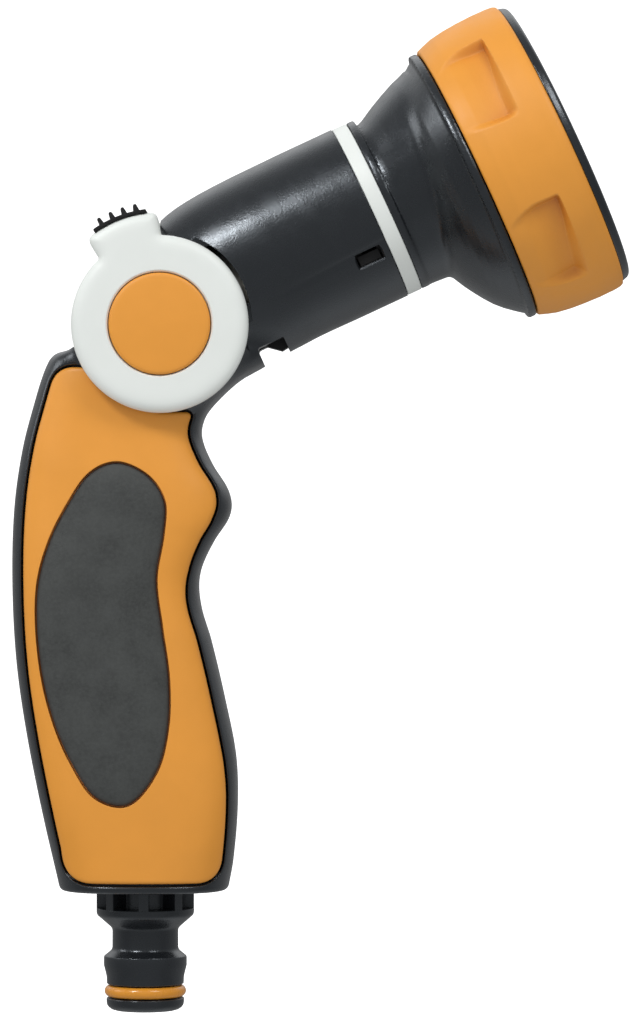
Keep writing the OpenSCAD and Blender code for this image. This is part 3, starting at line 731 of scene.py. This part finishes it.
PLASTICS = {
    "charcoal_plastic": dict(
        color=srgb(23, 25, 28), rough=0.27, vary=0.10, grain=0.03, grain_scale=2100,
        mottle=70, edge=0.30, edge_color=srgb(96, 100, 106), spec=1.0, rough_var=0.05,
        flow=0.02, bevel_radius=0.25, tint=(0.86, 0.93, 1, 1)),
    "orange_plastic": dict(
        color=srgb(238, 158, 53), rough=0.5, vary=0.035, grain=0.008, grain_scale=1900,
        mottle=60, edge=0.25, edge_color=srgb(250, 190, 96), spec=0.6, flow=0.02,
        # colour of the painted shade that darkens the orange in hollows and pocket walls
        bevel_radius=0.3, painted_shade_color=srgb(176, 92, 30)),
    "white_plastic": dict(
        color=srgb(236, 240, 236), rough=0.42, vary=0.02, grain=0.004, grain_scale=2100,
        mottle=60, edge=0.2, edge_color=srgb(240, 241, 238), spec=0.45, bevel_radius=0.3),
    "soft_grip": dict(
        color=srgb(66, 68, 67), rough=0.66, vary=0.2, grain=0.075, grain_scale=1500,
        mottle=160, edge=0.25, edge_color=srgb(92, 94, 93), spec=0.35, sheen=0.12,
        rough_var=0.07, bevel_radius=0.3),
    "black_rubber": dict(
        color=srgb(26, 26, 27), rough=0.62, vary=0.12, grain=0.015, grain_scale=2000,
        mottle=150, edge=0.3, edge_color=srgb(70, 70, 70), spec=0.35, bevel_radius=0.15),
    "orange_rubber": dict(
        color=srgb(226, 150, 46), rough=0.26, vary=0.05, grain=0.003, grain_scale=2200,
        mottle=140, edge=0.0, coat=0.25, bevel_radius=0.05),
    "plate_plastic": dict(
        color=srgb(40, 43, 46), rough=0.46, vary=0.08, grain=0.014, grain_scale=1700,
        mottle=80, edge=0.35, edge_color=srgb(120, 123, 126), spec=0.45, bevel_radius=0.2),
    "black_plastic": dict(
        color=srgb(20, 20, 22), rough=0.5, vary=0.1, grain=0.01, grain_scale=2100,
        edge=0.2, edge_color=srgb(70, 70, 72), bevel_radius=0.15),
    "natural_plastic": dict(
        color=srgb(214, 212, 202), rough=0.44, vary=0.03, grain=0.006, edge=0.2,
        edge_color=srgb(238, 236, 228), bevel_radius=0.15),
}
MATERIALS = {name: plastic(name, **look) for name, look in PLASTICS.items()}
MATERIALS["steel"] = steel()

# ----------------------------------------------------------------------------------------
# Dark body: handle, pivot drum and barrel in one skin, split on the mid-plane
# ----------------------------------------------------------------------------------------
# barrel's outside: (along the axis, radius)
BARREL_PROFILE = [
    (BARREL_REAR, 13.2), (-65.2, 14.4), (-63.6, 15.8), (-62.1, 16.5), (-60.2, 17.1),
    (-57.9, 17.6), (-55.6, 17.92), (-52.5, 18.22), (-49, 18.42), (-45, 18.56), (-40, 18.62),
    (-34, BARREL_RADIUS), (-10, BARREL_RADIUS)]
# compensates the distance where the profile slopes: (along the axis, factor)
BARREL_SLOPE = [(BARREL_REAR, 0.7), (-62, 0.85), (-58, 0.96), (-52, 0.995), (-45, 1)]
# window in each side of the barrel, in the barrel's frame
WINDOW_X = -26.7
WINDOW_HALF_LENGTH, WINDOW_HALF_HEIGHT = 2.7, 1.55
WINDOW_BELOW = 9                          # its centre below the barrel axis


def handle_distance(x, y, z):
    back, front, half = edges_at(z)
    middle, reach = (back + front) / 2, (front - back) / 2
    power = power_at(z)
    shell = ((np.abs(x - middle) / reach) ** power + (np.abs(y) / half) ** power) ** (1 / power)
    side = np.hypot(x - middle, y) * (1 - 1 / np.maximum(shell, 0.05))
    side = np.maximum(side, -6)
    capped = smooth_max(side, z - HANDLE_TOP, 2.4)
    return smooth_max(capped, HANDLE_BOTTOM - z, 1.0)


def barrel_distance(along, above, y):
    radial = np.hypot(y, above - BARREL_RISE)
    radius = np.interp(along, *zip(*BARREL_PROFILE))
    slope = np.interp(along, *zip(*BARREL_SLOPE))
    distance = np.maximum((radial - radius) * slope, BARREL_REAR - along)
    # a shallow groove along each side, fading in from the rear
    fade = np.clip((along + 49) / 14, 0, 1) * (along < -22)
    offset = above - BARREL_RISE + 8.3 - 0.045 * (along + 47)
    distance = distance + 0.34 * fade * np.exp(-(offset / 0.62) ** 2)
    # a slight swelling on the underside near the rear
    below = np.clip((BARREL_RISE - above) / 16, 0, 1)
    return distance - 0.55 * np.exp(-(((along + 50) / 5.5) ** 2)) * below ** 2


def drum_distance(x, y, z):
    return smooth_max(np.hypot(x - PIVOT_X, z - PIVOT_Z) - 17.2, np.abs(y) - 14.8, 1.2)


def body_distance(x, y, z):
    along, above = to_dial(x, z)
    handle = handle_distance(x, y, z)
    barrel = barrel_distance(along, above, y)
    pivot = drum_distance(x, y, z)
    joined = np.minimum(smooth_min(handle, barrel, 4.4),
                        np.minimum(smooth_min(handle, pivot, 4.0),
                                   smooth_min(barrel, pivot, 1.5)))
    return np.maximum(joined, along + 22.0)


def handle_cavity():
    """Inside of the handle, walled in by 2.3 in x and 4.5 in y."""
    wall_x, wall_y = 2.3, 4.5
    size, levels = 64, 40
    theta = 2 * math.pi * (np.arange(size) + 0.5) / size
    rings = []
    for z in np.linspace(HANDLE_BOTTOM + 2.2, HANDLE_TOP - 2.6, levels):
        back, front, half = edges_at(z)
        back, front, half = back + wall_x, front - wall_x, half - wall_y
        power = power_at(z)
        unit_x = np.sign(np.cos(theta)) * np.abs(np.cos(theta)) ** (2 / power)
        unit_y = np.sign(np.sin(theta)) * np.abs(np.sin(theta)) ** (2 / power)
        x = (back + front) / 2 + (front - back) / 2 * unit_x
        rings.append(np.stack([x, half * unit_y, np.full(size, z)], 1))
    faces = ring_faces(levels, size)
    faces.append(list(range(size - 1, -1, -1)))
    faces.append([(levels - 1) * size + i for i in range(size)])
    return fix_normals(mesh_object("cavity", np.vstack(rings), faces))


def tab_sweep():
    """Ring sector behind and above the drum, where the thumb tab moves."""
    angles = np.radians(np.linspace(90.8, 194.2, 40))
    outline = [on_circle(PIVOT_X, PIVOT_Z, 40, a) for a in angles]
    outline += [on_circle(PIVOT_X, PIVOT_Z, 17.35, a) for a in angles[::-1]]
    return plate_xz("sweep", outline, -30, 30)


def pocket(outline, depth, gap, side=1):
    """Cutter with a floor parallel to the side's surface."""
    base = counter_clockwise(resample(outline, OUTLINE_STEP))
    cutter = inlay("pocket", inset(base, -gap), lambda x, z, d: np.full(len(x), 26.0),
                   lambda x, z: side_y(x, z) - depth, radius=0.4, pitch=1.4)
    if side < 0:
        place(cutter, Matrix.Scale(-1, 4, (0, 1, 0)))
    return cutter


def rim_cutter(outline, gap, lip, side):
    """A ring that takes the sharp edge off the pocket's rim."""
    base = counter_clockwise(resample(outline, OUTLINE_STEP))
    # (distance outside the outline, height above the surface)
    section = []
    for t in np.linspace(0, 1, 6):
        angle = t * math.pi / 2
        section.append((gap + lip * (1 - math.cos(angle)), -lip + lip * math.sin(angle)))
    section += [(gap + lip * 1.15, 0.5), (gap - 0.8, 0.5), (gap - 0.8, -lip)]
    rings = []
    for outside, rise in section:
        x, z = inset(base, -outside).T
        rings.append(np.stack([x, side * (side_y(x, z) + rise), z], 1))
    faces = ring_faces(len(rings), len(base), closed=True)
    return fix_normals(mesh_object("rim", np.vstack(rings), faces))


def barrel_slot():
    """Slot in the underside of the barrel near its rear."""
    corners = [(-55.15, -26, 0), (-48.9, -26, 0), (-49.2, -15.9, 0.15), (-55.0, -15.9, 0.7)]
    return place(plate_xz("slot", rounded_profile(corners, 6), -12, 12), BARREL)


def window_cutter(side):
    """A rectangular hole through the barrel's wall with a small chamfer all round."""
    tilt = math.asin(WINDOW_BELOW / BARREL_RADIUS)
    out = np.array([0, side * math.cos(tilt), -math.sin(tilt)])
    up = np.array([0, side * math.sin(tilt), math.cos(tilt)])
    verts = []
    # (distance from the axis, widening)
    for radius, extra in ((10.0, 0), (BARREL_RADIUS - 0.42, 0), (BARREL_RADIUS + 0.25, 0.6)):
        for end, edge in ((-1, -1), (1, -1), (1, 1), (-1, 1)):
            x = WINDOW_X + end * (WINDOW_HALF_LENGTH + extra)
            verts.append(np.array([x, 0, 0]) + out * radius
                         + up * edge * (WINDOW_HALF_HEIGHT + extra))
    faces = [(0, 1, 2, 3), (8, 9, 10, 11)] + ring_faces(3, 4)
    return place(fix_normals(mesh_object("window", verts, faces)), BARREL)


def paint_window_shade(obj):
    """Paints the faces inside the windows with the black plastic material as painted shade, so
    they read as an unlit inside.
    """
    centres = np.empty(3 * len(obj.data.polygons))
    obj.data.polygons.foreach_get("center", centres)
    x, y, z = (centres.reshape(-1, 3) / MM).T
    along, above = to_dial(x, z)
    inside = ((np.abs(along - WINDOW_X) < 3.6) & (np.abs(above - BARREL_RISE + 8) < 3.2)
              & (np.hypot(y, above - BARREL_RISE) < BARREL_RADIUS - 0.6))
    # the black plastic here is painted shade inside the windows, not a separate part
    obj.data.materials.append(MATERIALS["black_plastic"])
    obj.data.polygons.foreach_set("material_index", inside.astype(np.int32))
    obj.data.update()


def body_shells():
    body = implicit("body", body_distance, (-30, -20, 22), (60, 20, 186), 0.5)
    # hollow inside
    cut(body, handle_cavity())
    cut(body, cylinder_y(PIVOT_X, PIVOT_Z, 14.6, -11.65, 11.65))
    cut(body, drum(BARREL_RADIUS - 2.3, -60, -10, BARREL))
    # square front end of the barrel
    cut(body, place(block((-22.45, -40, -60), (40, 40, 60)), DIAL))
    # room for the thumb tab, the lever discs and their stem
    cut(body, tab_sweep())
    for y0, y1 in ((-40, -14.85), (14.85, 40)):
        cut(body, cylinder_y(PIVOT_X, PIVOT_Z + 0.3, 18.6, y0, y1, 192))
    cut(body, cylinder_y(PIVOT_X, PIVOT_Z, 5.3, -40, 40, 64))
    # pockets for the side panels, with softly rounded rims
    for side in (-1, 1):
        cut(body, pocket(PANEL_OUTLINE, depth=2.3, gap=0.5, side=side),
            rim_cutter(PANEL_OUTLINE, gap=0.5, lip=0.5, side=side))
    cut(body, barrel_slot())
    for side in (-1, 1):
        cut(body, window_cutter(side))
    # stepped hole in the foot
    foot = [(18, 0), (18, 10.35), (26.9, 10.35), (26.9, 12.5), (29.4, 12.5), (29.4, 0)]
    cut(body, place(lathe("foot_hole", foot, 96), INLET_UP))

    seam = 0.07                           # each half stops this far from the mid-plane
    left = copy_of(body, "left_body_shell_skin")
    cut(left, block((-200, -seam, -50), (300, 100, 400)))
    cut(body, block((-200, -100, -50), (300, seam, 400)))
    body.name = "right_body_shell_skin"
    for shell in (left, body):
        finish(shell, "charcoal_plastic", angle=30)
        # painted shade: black faces inside the barrel's windows
        paint_window_shade(shell)


# ----------------------------------------------------------------------------------------
# Side panels and grip pads
# ----------------------------------------------------------------------------------------
def side_panels():
    def top(x, z, distance):
        return side_y(x, z) + 0.25 - edge_drop(distance, 0.75)

    panel = inlay("right_side_panel_skin", PANEL_OUTLINE, top,
                  lambda x, z: side_y(x, z) - 2.15, radius=0.75)
    cut(panel, pocket(PAD_OUTLINE, depth=1.35, gap=0.35))
    finish_pair(panel, "orange_plastic")


def grip_pads():
    def top(x, z, distance):
        # crowned by 1 mm over the first 6.5 mm from the border
        crown = 1 - (1 - np.clip(distance / 6.5, 0, 1)) ** 2
        return side_y(x, z) - 0.1 + crown - edge_drop(distance, 0.7)

    pad = inlay("right_grip_pad_skin", PAD_OUTLINE, top,
                lambda x, z: side_y(x, z) - 1.3, radius=1.0)
    finish_pair(pad, "soft_grip")


# ----------------------------------------------------------------------------------------
# Thumb lever
# ----------------------------------------------------------------------------------------
TAB_ANGLE = math.radians(111.0)           # direction of the thumb tab from the pivot
LEVER_RADIUS = 17.9
TAB_RADIUS = 22.5
# side of the tab: (across, outwards from the pivot)
TAB_SIDE = [(6.7, 16.6), (6.85, 17.4), (7.1, 18.6), (7.3, 19.8), (7.3, 20.6), (7.05, 21.2),
            (6.2, 21.66)]


def tab_point(across, out):
    """From across and outwards along the tab to x, z."""
    return (PIVOT_X + out * math.cos(TAB_ANGLE) - across * math.sin(TAB_ANGLE),
            PIVOT_Z + out * math.sin(TAB_ANGLE) + across * math.cos(TAB_ANGLE))


def around(radius, degrees):
    """Point around the pivot, at an angle from the tab's middle."""
    return on_circle(PIVOT_X, PIVOT_Z, radius, TAB_ANGLE + math.radians(degrees))


def lever_outline():
    """The disc with its thumb tab."""
    half = math.radians(14.2)
    tab = [tab_point(-u, v) for u, v in TAB_SIDE]
    tab += [tab_point(TAB_RADIUS * math.sin(t), TAB_RADIUS * math.cos(t))
            for t in np.linspace(-half, half, 60)]
    tab += [tab_point(u, v) for u, v in TAB_SIDE[::-1]]
    foot = math.atan2(*TAB_SIDE[0])
    angles = np.linspace(TAB_ANGLE + foot, TAB_ANGLE + 2 * math.pi - foot, 400)[1:-1]
    disc = [on_circle(PIVOT_X, PIVOT_Z, LEVER_RADIUS, angle) for angle in angles]
    loop = resample(np.array(tab + disc), 0.2)
    # running average that softens the corners
    weights = np.hanning(7)
    weights /= weights.sum()
    index = (np.arange(len(loop))[:, None] + np.arange(-3, 4)[None]) % len(loop)
    return (loop[index] * weights[None, :, None]).sum(1)


def lever_discs():
    inner_face, outer_face = 15.2, 19.2
    edge_width, edge_depth, edge_power = 2.7, 1.9, 2.15

    def top(x, z, distance):
        t = np.clip(1 - distance / edge_width, 0, 1)
        return outer_face - edge_depth * (1 - (1 - t**edge_power) ** (1 / edge_power))

    disc = inlay("right_lever_disc_skin", lever_outline(), top,
                 lambda x, z: np.full(len(x), inner_face), radius=2.4, step=0.4, pitch=0.9)
    # recess for the cap: (y, radius, rounding)
    recess = rounded_profile([
        (17.2, 0, 0), (17.2, 10.45, 0.1), (18.85, 10.45, 0.3), (19.25, 10.85, 0.3),
        (20.5, 10.85, 0), (20.5, 0, 0)], 4)
    cut(disc, place(lathe("cap_pocket", recess), PIVOT_OUT))
    finish_pair(disc, "white_plastic", body="thumb_lever", angle=40)


def pivot_caps():
    # (y, radius)
    profile = [
        (17.3, 0), (17.3, 10.1), (17.45, 10.25), (19.0, 10.25), (19.22, 10.2),
        (19.4, 10.06), (19.52, 9.84), (19.6, 9.5), (19.72, 8), (19.83, 6), (19.92, 4),
        (19.98, 2), (20.0, 0)]
    cap = place(lathe("right_pivot_cap_skin", dense(profile, 0.7)), PIVOT_OUT)
    finish_pair(cap, "orange_plastic", body="thumb_lever")


def thumb_bar():
    """Curved bar that joins the two tabs."""
    half = 13.5
    line = [around(19.2, angle) for angle in np.linspace(-half, half, 17)]
    line += [around(22.4, angle) for angle in np.linspace(half, -half, 17)]
    bar = bevel(plate_xz("thumb_bar_skin", line, -15.15, 15.15), 0.4, 3)
    finish(bar, "white_plastic", body="thumb_lever")


def thumb_grip():
    """Thin strip over the tabs with four rounded ridges."""
    half = 14.4                           # degrees
    strip_radius, ridge_height = 23.25, 1.35
    ridge_pitch, ridge_half = 6.1, 1.2    # degrees
    line = []
    for angle in np.linspace(-half, half, 145):
        radius = strip_radius
        for i in range(4):
            across = abs(angle - (i - 1.5) * ridge_pitch) / ridge_half
            if across < 1:
                ridge = ridge_height * (1 - across**3.2) ** 0.45
                radius = max(radius, strip_radius + ridge)
        # the ends round off
        to_end = half - abs(angle)
        if to_end < 0.6:
            radius -= 0.35 * (1 - to_end / 0.6) ** 2
        line.append(around(radius, angle))
    line += [around(TAB_RADIUS, angle) for angle in np.linspace(half, -half, 29)]
    grip = bevel(plate_xz("thumb_grip_skin", line, -18.5, 18.5), 0.14, 2)
    finish(grip, "black_rubber", body="thumb_lever")


# ----------------------------------------------------------------------------------------
# Trim ring and bell
# ----------------------------------------------------------------------------------------
def trim_ring():
    # (along, radius, rounding) on the barrel axis
    profile = rounded_profile([
        (-22.35, 16.15, 0), (-22.35, 18.6, 0.3), (-19.2, 18.6, 0.3), (-19.2, 16.15, 0)])
    ring = place(lathe("trim_ring_skin", dense_loop(profile, 0.8)), BARREL)
    finish(ring, "white_plastic")


# dome of the bell: (along the dial axis, radius)
DOME = [
    (-14.2, 0), (-14.2, 11.5), (-13.2, 13.4), (-12.1, 16.1), (-11.1, 18), (-10, 19.8),
    (-8.6, 21.9), (-7.2, 23.75), (-5.6, 25.4), (-4, 26.75), (-2.6, 27.85), (-1.9, 28.3),
    (0.5, 28.4), (0.5, 0)]
# neck of the bell: (along the dial axis, height of its top line above the axis)
NECK_TOP = [(-19, 21.6), (-17.2, 21.2), (-16, 21.65), (-13, 23.3), (-10, 24.75), (-7, 26.05),
            (-4.2, 26.9), (0, 28)]
# the same for its bottom line
NECK_LOW = [(-19, -14.5), (-16, -14.6), (-13, -14.8), (-10, -15.2), (-4, -16)]


def bell_distance(x, y, z):
    along, above = to_dial(x, z)
    radial = np.hypot(y, above)
    dome = signed_distance(along, radial, DOME)
    top = np.interp(along, *zip(*NECK_TOP))
    low = np.interp(along, *zip(*NECK_LOW))
    neck = (np.hypot(y, above - (top + low) / 2) - (top - low) / 2) * 0.9
    neck = np.maximum(neck, along + 4.2)
    bell = smooth_min(dome, neck, 1.0)
    # rim of the neck, against the trim ring
    from_barrel = np.hypot(y, above - BARREL_RISE)
    rim = smooth_max(from_barrel - 18.55, np.abs(along + 18.3) - 0.82, 0.4)
    lip = smooth_max(radial - 29.4, np.abs(along + 1.0) - 0.88, 0.5)
    bell = smooth_min(bell, rim, 0.35)
    bell = smooth_min(bell, lip, 0.5)
    # flat rear and front ends
    bell = np.maximum(bell, -19.13 - along)
    return np.maximum(bell, along + 0.12)


def bell_housing():
    bell = implicit("bell_housing_skin", bell_distance, (38, -31, 138), (84, 31, 200), 0.42)
    # hollow: (along, radius)
    room = [(-10.2, 0), (-10.2, 16.4), (-7.8, 19.6), (-6.4, 22), (-3.9, 25.4), (-3, 25.9),
            (-1, 27.6), (3, 27.6), (3, 0)]
    cut(bell, place(lathe("bell_room", room, 128), DIAL))
    # bore level with the lever pivot
    rise = to_dial(PIVOT_X, PIVOT_Z)[1]
    cut(bell, drum(10.8, -24, -9, DIAL @ Matrix.Translation((0, 0, rise * MM))))
    cut(bell, drum(16.1, -24, -16.6, BARREL))
    finish(bell, "charcoal_plastic", angle=34)


# ----------------------------------------------------------------------------------------
# Dial: orange grip ring with finger pockets, dark bezel
# ----------------------------------------------------------------------------------------
POCKETS = 5
POCKET_PITCH = 360 // POCKETS             # degrees
# outside of the ring: (along the axis, radius)
RING_PROFILE = [
    (0.15, 29.3), (0.35, 29.65), (2, 30.25), (3.8, 30.8), (6.6, 31.25), (9.7, 31.5),
    (13.2, 31.64), (16.5, 31.6), (17.9, 31.45), (18.42, 31.2), (18.65, 30.75)]
# inside of the ring, front to rear
RING_BORE = [(18.65, 28.75), (18.45, 28.45), (17, 28.35), (9, 28.35), (0.5, 28.35),
             (0.15, 28.6)]


def ring_stations():
    """Stations along the axis, close together at the pocket's front wall."""
    return np.unique(np.round(np.concatenate([
        [0.15, 0.25, 0.4, 0.7], np.arange(1, 9.6, 0.35), np.arange(9.6, 12.8, 0.1),
        np.arange(12.8, 13.2, 0.2), np.arange(13.2, 17.9, 0.4),
        [17.9, 18.1, 18.3, 18.42, 18.55, 18.65]]), 4))


def ring_angles():
    """Angles in degrees, close together at the ends of each pocket."""
    half = POCKET_PITCH // 2
    across = np.concatenate([
        np.arange(-half, -24, 0.75), np.arange(-24, -17, 0.25), np.arange(-17, 13, 0.75),
        np.arange(13, 19.5, 0.25), np.arange(19.5, half, 0.75)])
    turns = np.concatenate([half + POCKET_PITCH * k + across for k in range(POCKETS)])
    return np.unique(np.round(turns % 360, 4))


def ring_point_rows(along, radius, degrees):
    angle = np.radians(degrees)
    return np.stack([along, -radius * np.cos(angle), radius * np.sin(angle)], -1)


def grip_ring():
    stations, degrees = ring_stations(), ring_angles()
    along, angle = np.meshgrid(stations, degrees, indexing="ij")
    radius = np.interp(along, *zip(*RING_PROFILE))
    # angle from the pocket's centre
    local = (angle + 360) % POCKET_PITCH - POCKET_PITCH // 2
    # the ends draw in towards the rear; the negative end reaches further
    upper = 18.0 - 3.6 * np.clip((7.5 - along) / 5.5, 0, 1.3) ** 1.7
    lower = 22.4 - 1.6 * np.clip((9.0 - along) / 7.0, 0, 1.3) ** 1.5
    ends = smoothstep((upper - local) / 3.0) * smoothstep((lower + local) / 3.6)
    depth = 2.1 * smoothstep((along + 0.6) / 11.0)
    # the front wall is steep at the positive end and leans back towards the other
    width = 0.5 + 1.7 * smoothstep((17 - local) / 30)
    wall = 12.35 - 0.25 * (np.abs(local) / 20) ** 3
    front = np.clip((wall - along) / width, 0, 1)
    front = front + (smoothstep(front) - front) * 0.4
    radius = radius - depth * ends * front

    size = len(degrees)
    rows = list(ring_point_rows(along, radius, angle))
    rows += [ring_point_rows(np.full(size, x), r, degrees) for x, r in RING_BORE]
    quads = ring_faces(len(rows), size, closed=True)
    ring = fast_object("grip_ring_skin", np.vstack(rows), quads)
    fix_normals(place(ring, DIAL))
    finish(ring, "orange_plastic", body="spray_dial", angle=40)


def front_bezel():
    # (along, radius, rounding)
    profile = rounded_profile([
        (17.45, 26.4, 0), (17.45, 28.3, 0), (18.7, 28.3, 0), (18.7, 30.65, 0.25),
        (20.55, 30.1, 1.7), (20.55, 26.4, 1.1)], 8)
    bezel = place(lathe("front_bezel_skin", dense_loop(profile, 0.6)), DIAL)
    finish(bezel, "charcoal_plastic", body="spray_dial")


# ----------------------------------------------------------------------------------------
# Inlet nipple and its O-ring
# ----------------------------------------------------------------------------------------
NIPPLE_TOP = 24.9
# (z, radius)
NIPPLE = [
    (-0.001, 4.62), (-0.001, 6.2), (0.2, 6.9), (0.62, 7.5), (1.1, 7.83), (1.7, 7.95),
    (2.4, 7.95), (2.55, 7.8), (2.55, 5.97), (5.35, 5.97), (5.35, 7.7), (5.5, 7.88),
    (6.6, 7.92), (7.1, 7.98), (7.7, 8.12), (8.9, 8.42), (9.25, 8.5), (10.8, 8.5),
    (11.1, 8.42), (12.1, 7.2), (12.45, 6.88), (12.9, 6.76), (16.2, 6.74), (16.7, 6.82),
    (17.1, 7.1), (19.1, 9.4), (19.4, 9.75), (19.8, 9.96), (20.2, 10.0), (20.85, 10.0),
    (20.95, 9.9), (20.95, 6.2), (NIPPLE_TOP, 6.2), (NIPPLE_TOP, 4.62)]


def inlet_nipple():
    stem = place(lathe("inlet_nipple_skin", dense_loop(NIPPLE, 0.8), 160), INLET_UP)
    ribs = 8
    for k in range(ribs):
        rib = block((5.8, -1.0, 20.5), (9.96, 1.0, NIPPLE_TOP))
        place(rib, Matrix.Rotation(2 * math.pi * k / ribs, 4, "Z"))
        cut(stem, rib, operation="UNION")
    # the CAD tube carries on above the nipple; welded so that its mesh is closed
    riser = copy_of(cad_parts["inlet_tube"], "riser")
    with edit_mesh(riser) as work:
        bmesh.ops.remove_doubles(work, verts=work.verts, dist=1e-8)
    cut(riser, block((-50, -50, -10), (50, 50, NIPPLE_TOP)))
    finish(stem, "charcoal_plastic", angle=35, node="inlet_tube")
    riser.name = "inlet_riser"
    finish(riser, "charcoal_plastic", angle=35, node="")


def inlet_o_ring():
    section = [on_circle(3.95, 7.16, 1.19, t)
               for t in np.linspace(0, 2 * math.pi, 40, endpoint=False)]
    ring = place(lathe("inlet_o_ring_skin", section, 160), INLET_UP)
    finish(ring, "orange_rubber", angle=60)


# ----------------------------------------------------------------------------------------
# CAD nodes that keep their own shape, by material
# ----------------------------------------------------------------------------------------
KEPT_NODES = {
    "black_rubber": ["riser_o_ring", "valve_seat_inlet", "valve_seat_outlet",
                     "plug_o_rings", "barrel_o_ring", "outlet_seal"],
    "steel": ["body_screws", "lever_screws", "seal_spring", "detent_ball",
              "detent_spring", "dial_screw"],
    "natural_plastic": ["valve_housing", "valve_end_cap", "valve_plug", "outlet_hub",
                        "selector_disc"],
    "black_plastic": ["barrel_tube", "dial_core"],
    "plate_plastic": ["spray_plate"],
    "orange_plastic": ["jet_nozzle", "mist_nozzles"],
}


def paint_kept_nodes():
    for material, nodes in KEPT_NODES.items():
        for node in nodes:
            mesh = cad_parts[node].data
            mesh.materials.clear()
            mesh.materials.append(MATERIALS[material])


# ----------------------------------------------------------------------------------------
# Studio, in metres
# ----------------------------------------------------------------------------------------
def studio_world():
    """Soft surroundings, by direction of view."""
    world = bpy.data.worlds.new("studio")
    bpy.context.scene.world = world
    shader = Shader(world)
    direction = shader.new("ShaderNodeSeparateXYZ", {
        0: shader.new("ShaderNodeTexCoord").outputs["Generated"]})

    def glow(axis, span, amount):
        return shader.ramp(direction.outputs[axis], span=span, to=(0.0, amount),
                           interpolation_type="SMOOTHSTEP")

    strength = 0.275                      # everywhere
    for part in (
            glow("Z", span=(-0.05, 0.45), amount=0.08),      # above
            glow("Z", span=(-0.5, -0.95), amount=0.28),      # below
            glow("Y", span=(0.1, -0.8), amount=0.30),        # camera's side, -y
            shader.math("MULTIPLY",                          # high on the far side, +y
                        glow("Y", span=(0.25, 0.8), amount=0.8),
                        glow("Z", span=(0.05, 0.6), amount=1.0))):
        strength = shader.math("ADD", part, strength)
    # the camera's side looks dimmer in reflections than it lights
    rays = shader.new("ShaderNodeLightPath")
    dimming = shader.math("MULTIPLY", glow("Y", span=(0.3, -0.5), amount=0.55),
                          rays.outputs["Is Glossy Ray"])
    strength = shader.math("MULTIPLY", strength, shader.math("SUBTRACT", 1.0, dimming))
    # white where the camera looks past the floor
    seen = shader.new("ShaderNodeMix", {
        0: rays.outputs["Is Camera Ray"], 2: strength, 3: 1.02}, data_type="FLOAT")
    shader.feed(shader.find("BACKGROUND"), {
        "Strength": seen.outputs[0], "Color": (0.985, 0.995, 1, 1)})


def studio_white():
    """Pale floor material; only its upper and inner side shows."""
    shader = Shader(bpy.data.materials.new("studio_white"))
    backfacing = shader.new("ShaderNodeNewGeometry").outputs["Backfacing"]
    shader.feed(shader.find("BSDF_PRINCIPLED"), {
        "Base Color": (0.86, 0.86, 0.86, 1),
        "Roughness": 0.9,
        "Specular IOR Level": 0.0,
        "Emission Color": (1, 1, 1, 1),
        "Emission Strength": 0.9,
        "Alpha": shader.math("SUBTRACT", 1.0, backfacing)})
    return shader.owner


def studio_floor():
    """Round floor that curves up to a backdrop on all sides, seen only by the camera."""
    material = studio_white()
    level, flat_radius, bend = -0.06, 4.5, 2.5
    # (radius, z), outwards from the centre point
    profile = [(radius, level) for radius in (0.5, 1.0, 1.6, 3.0, flat_radius)]
    profile += [(flat_radius + bend * math.sin(a), level + bend * (1 - math.cos(a)))
                for a in np.linspace(0.1, math.pi / 2, 14)]
    profile += [(7.0, 5.0), (7.0, 8.0)]
    segments = 96
    verts = [(0, 0, level)]
    for radius, z in profile:
        for k in range(segments):
            angle = 2 * math.pi * k / segments
            verts.append((radius * math.cos(angle), radius * math.sin(angle), z))
    faces = [(0, 1 + k, 1 + (k + 1) % segments) for k in range(segments)]
    for i in range(len(profile) - 1):
        inner, outer = 1 + i * segments, 1 + (i + 1) * segments
        for k in range(segments):
            m = (k + 1) % segments
            faces.append((inner + k, outer + k, outer + m, inner + m))
    floor = mesh_object("floor", verts, faces, scale=1)
    for face in floor.data.polygons:
        face.use_smooth = True
    floor.data.materials.append(material)
    for ray in ("diffuse", "glossy", "transmission", "shadow"):
        setattr(floor, "visible_" + ray, False)


def area_light(name, position, size, power):
    """Square light aimed at the middle of the nozzle."""
    target = Vector((0.036, 0, 0.105))
    light = bpy.data.lights.new(name, "AREA")
    light.shape = "RECTANGLE"
    light.size = size
    light.size_y = size
    light.energy = power
    lamp = add_object(name, light)
    lamp.location = position
    lamp.rotation_euler = (target - Vector(position)).to_track_quat("-Z", "Y").to_euler()


def studio_camera():
    """Long lens that looks along +y at the left side."""
    data = bpy.data.cameras.new("camera")
    data.lens = 171.5
    data.sensor_width = 36
    data.sensor_fit = "AUTO"
    data.clip_start = 0.01
    data.clip_end = 50
    camera = add_object("camera", data)
    camera.location = (0.0358, -1.0, 0.1020)
    camera.rotation_euler = (math.pi / 2, 0, 0)
    bpy.context.scene.camera = camera


def studio():
    view = bpy.context.scene.view_settings
    view.view_transform = "Standard"
    view.look = "None"
    studio_world()
    studio_floor()
    area_light("key", position=(-0.46, -0.60, 0.787), size=0.22, power=3.5)
    area_light("side", position=(0.42, -0.56, 0.80), size=0.3, power=2.0)
    area_light("left_panel", position=(-0.72, 0.0, 0.42), size=0.28, power=0.7)
    studio_camera()


# ----------------------------------------------------------------------------------------
# Build
# ----------------------------------------------------------------------------------------
body_shells()
side_panels()
grip_pads()
lever_discs()
pivot_caps()
thumb_bar()
thumb_grip()
trim_ring()
bell_housing()
grip_ring()
front_bezel()
inlet_nipple()
inlet_o_ring()
paint_kept_nodes()
studio()
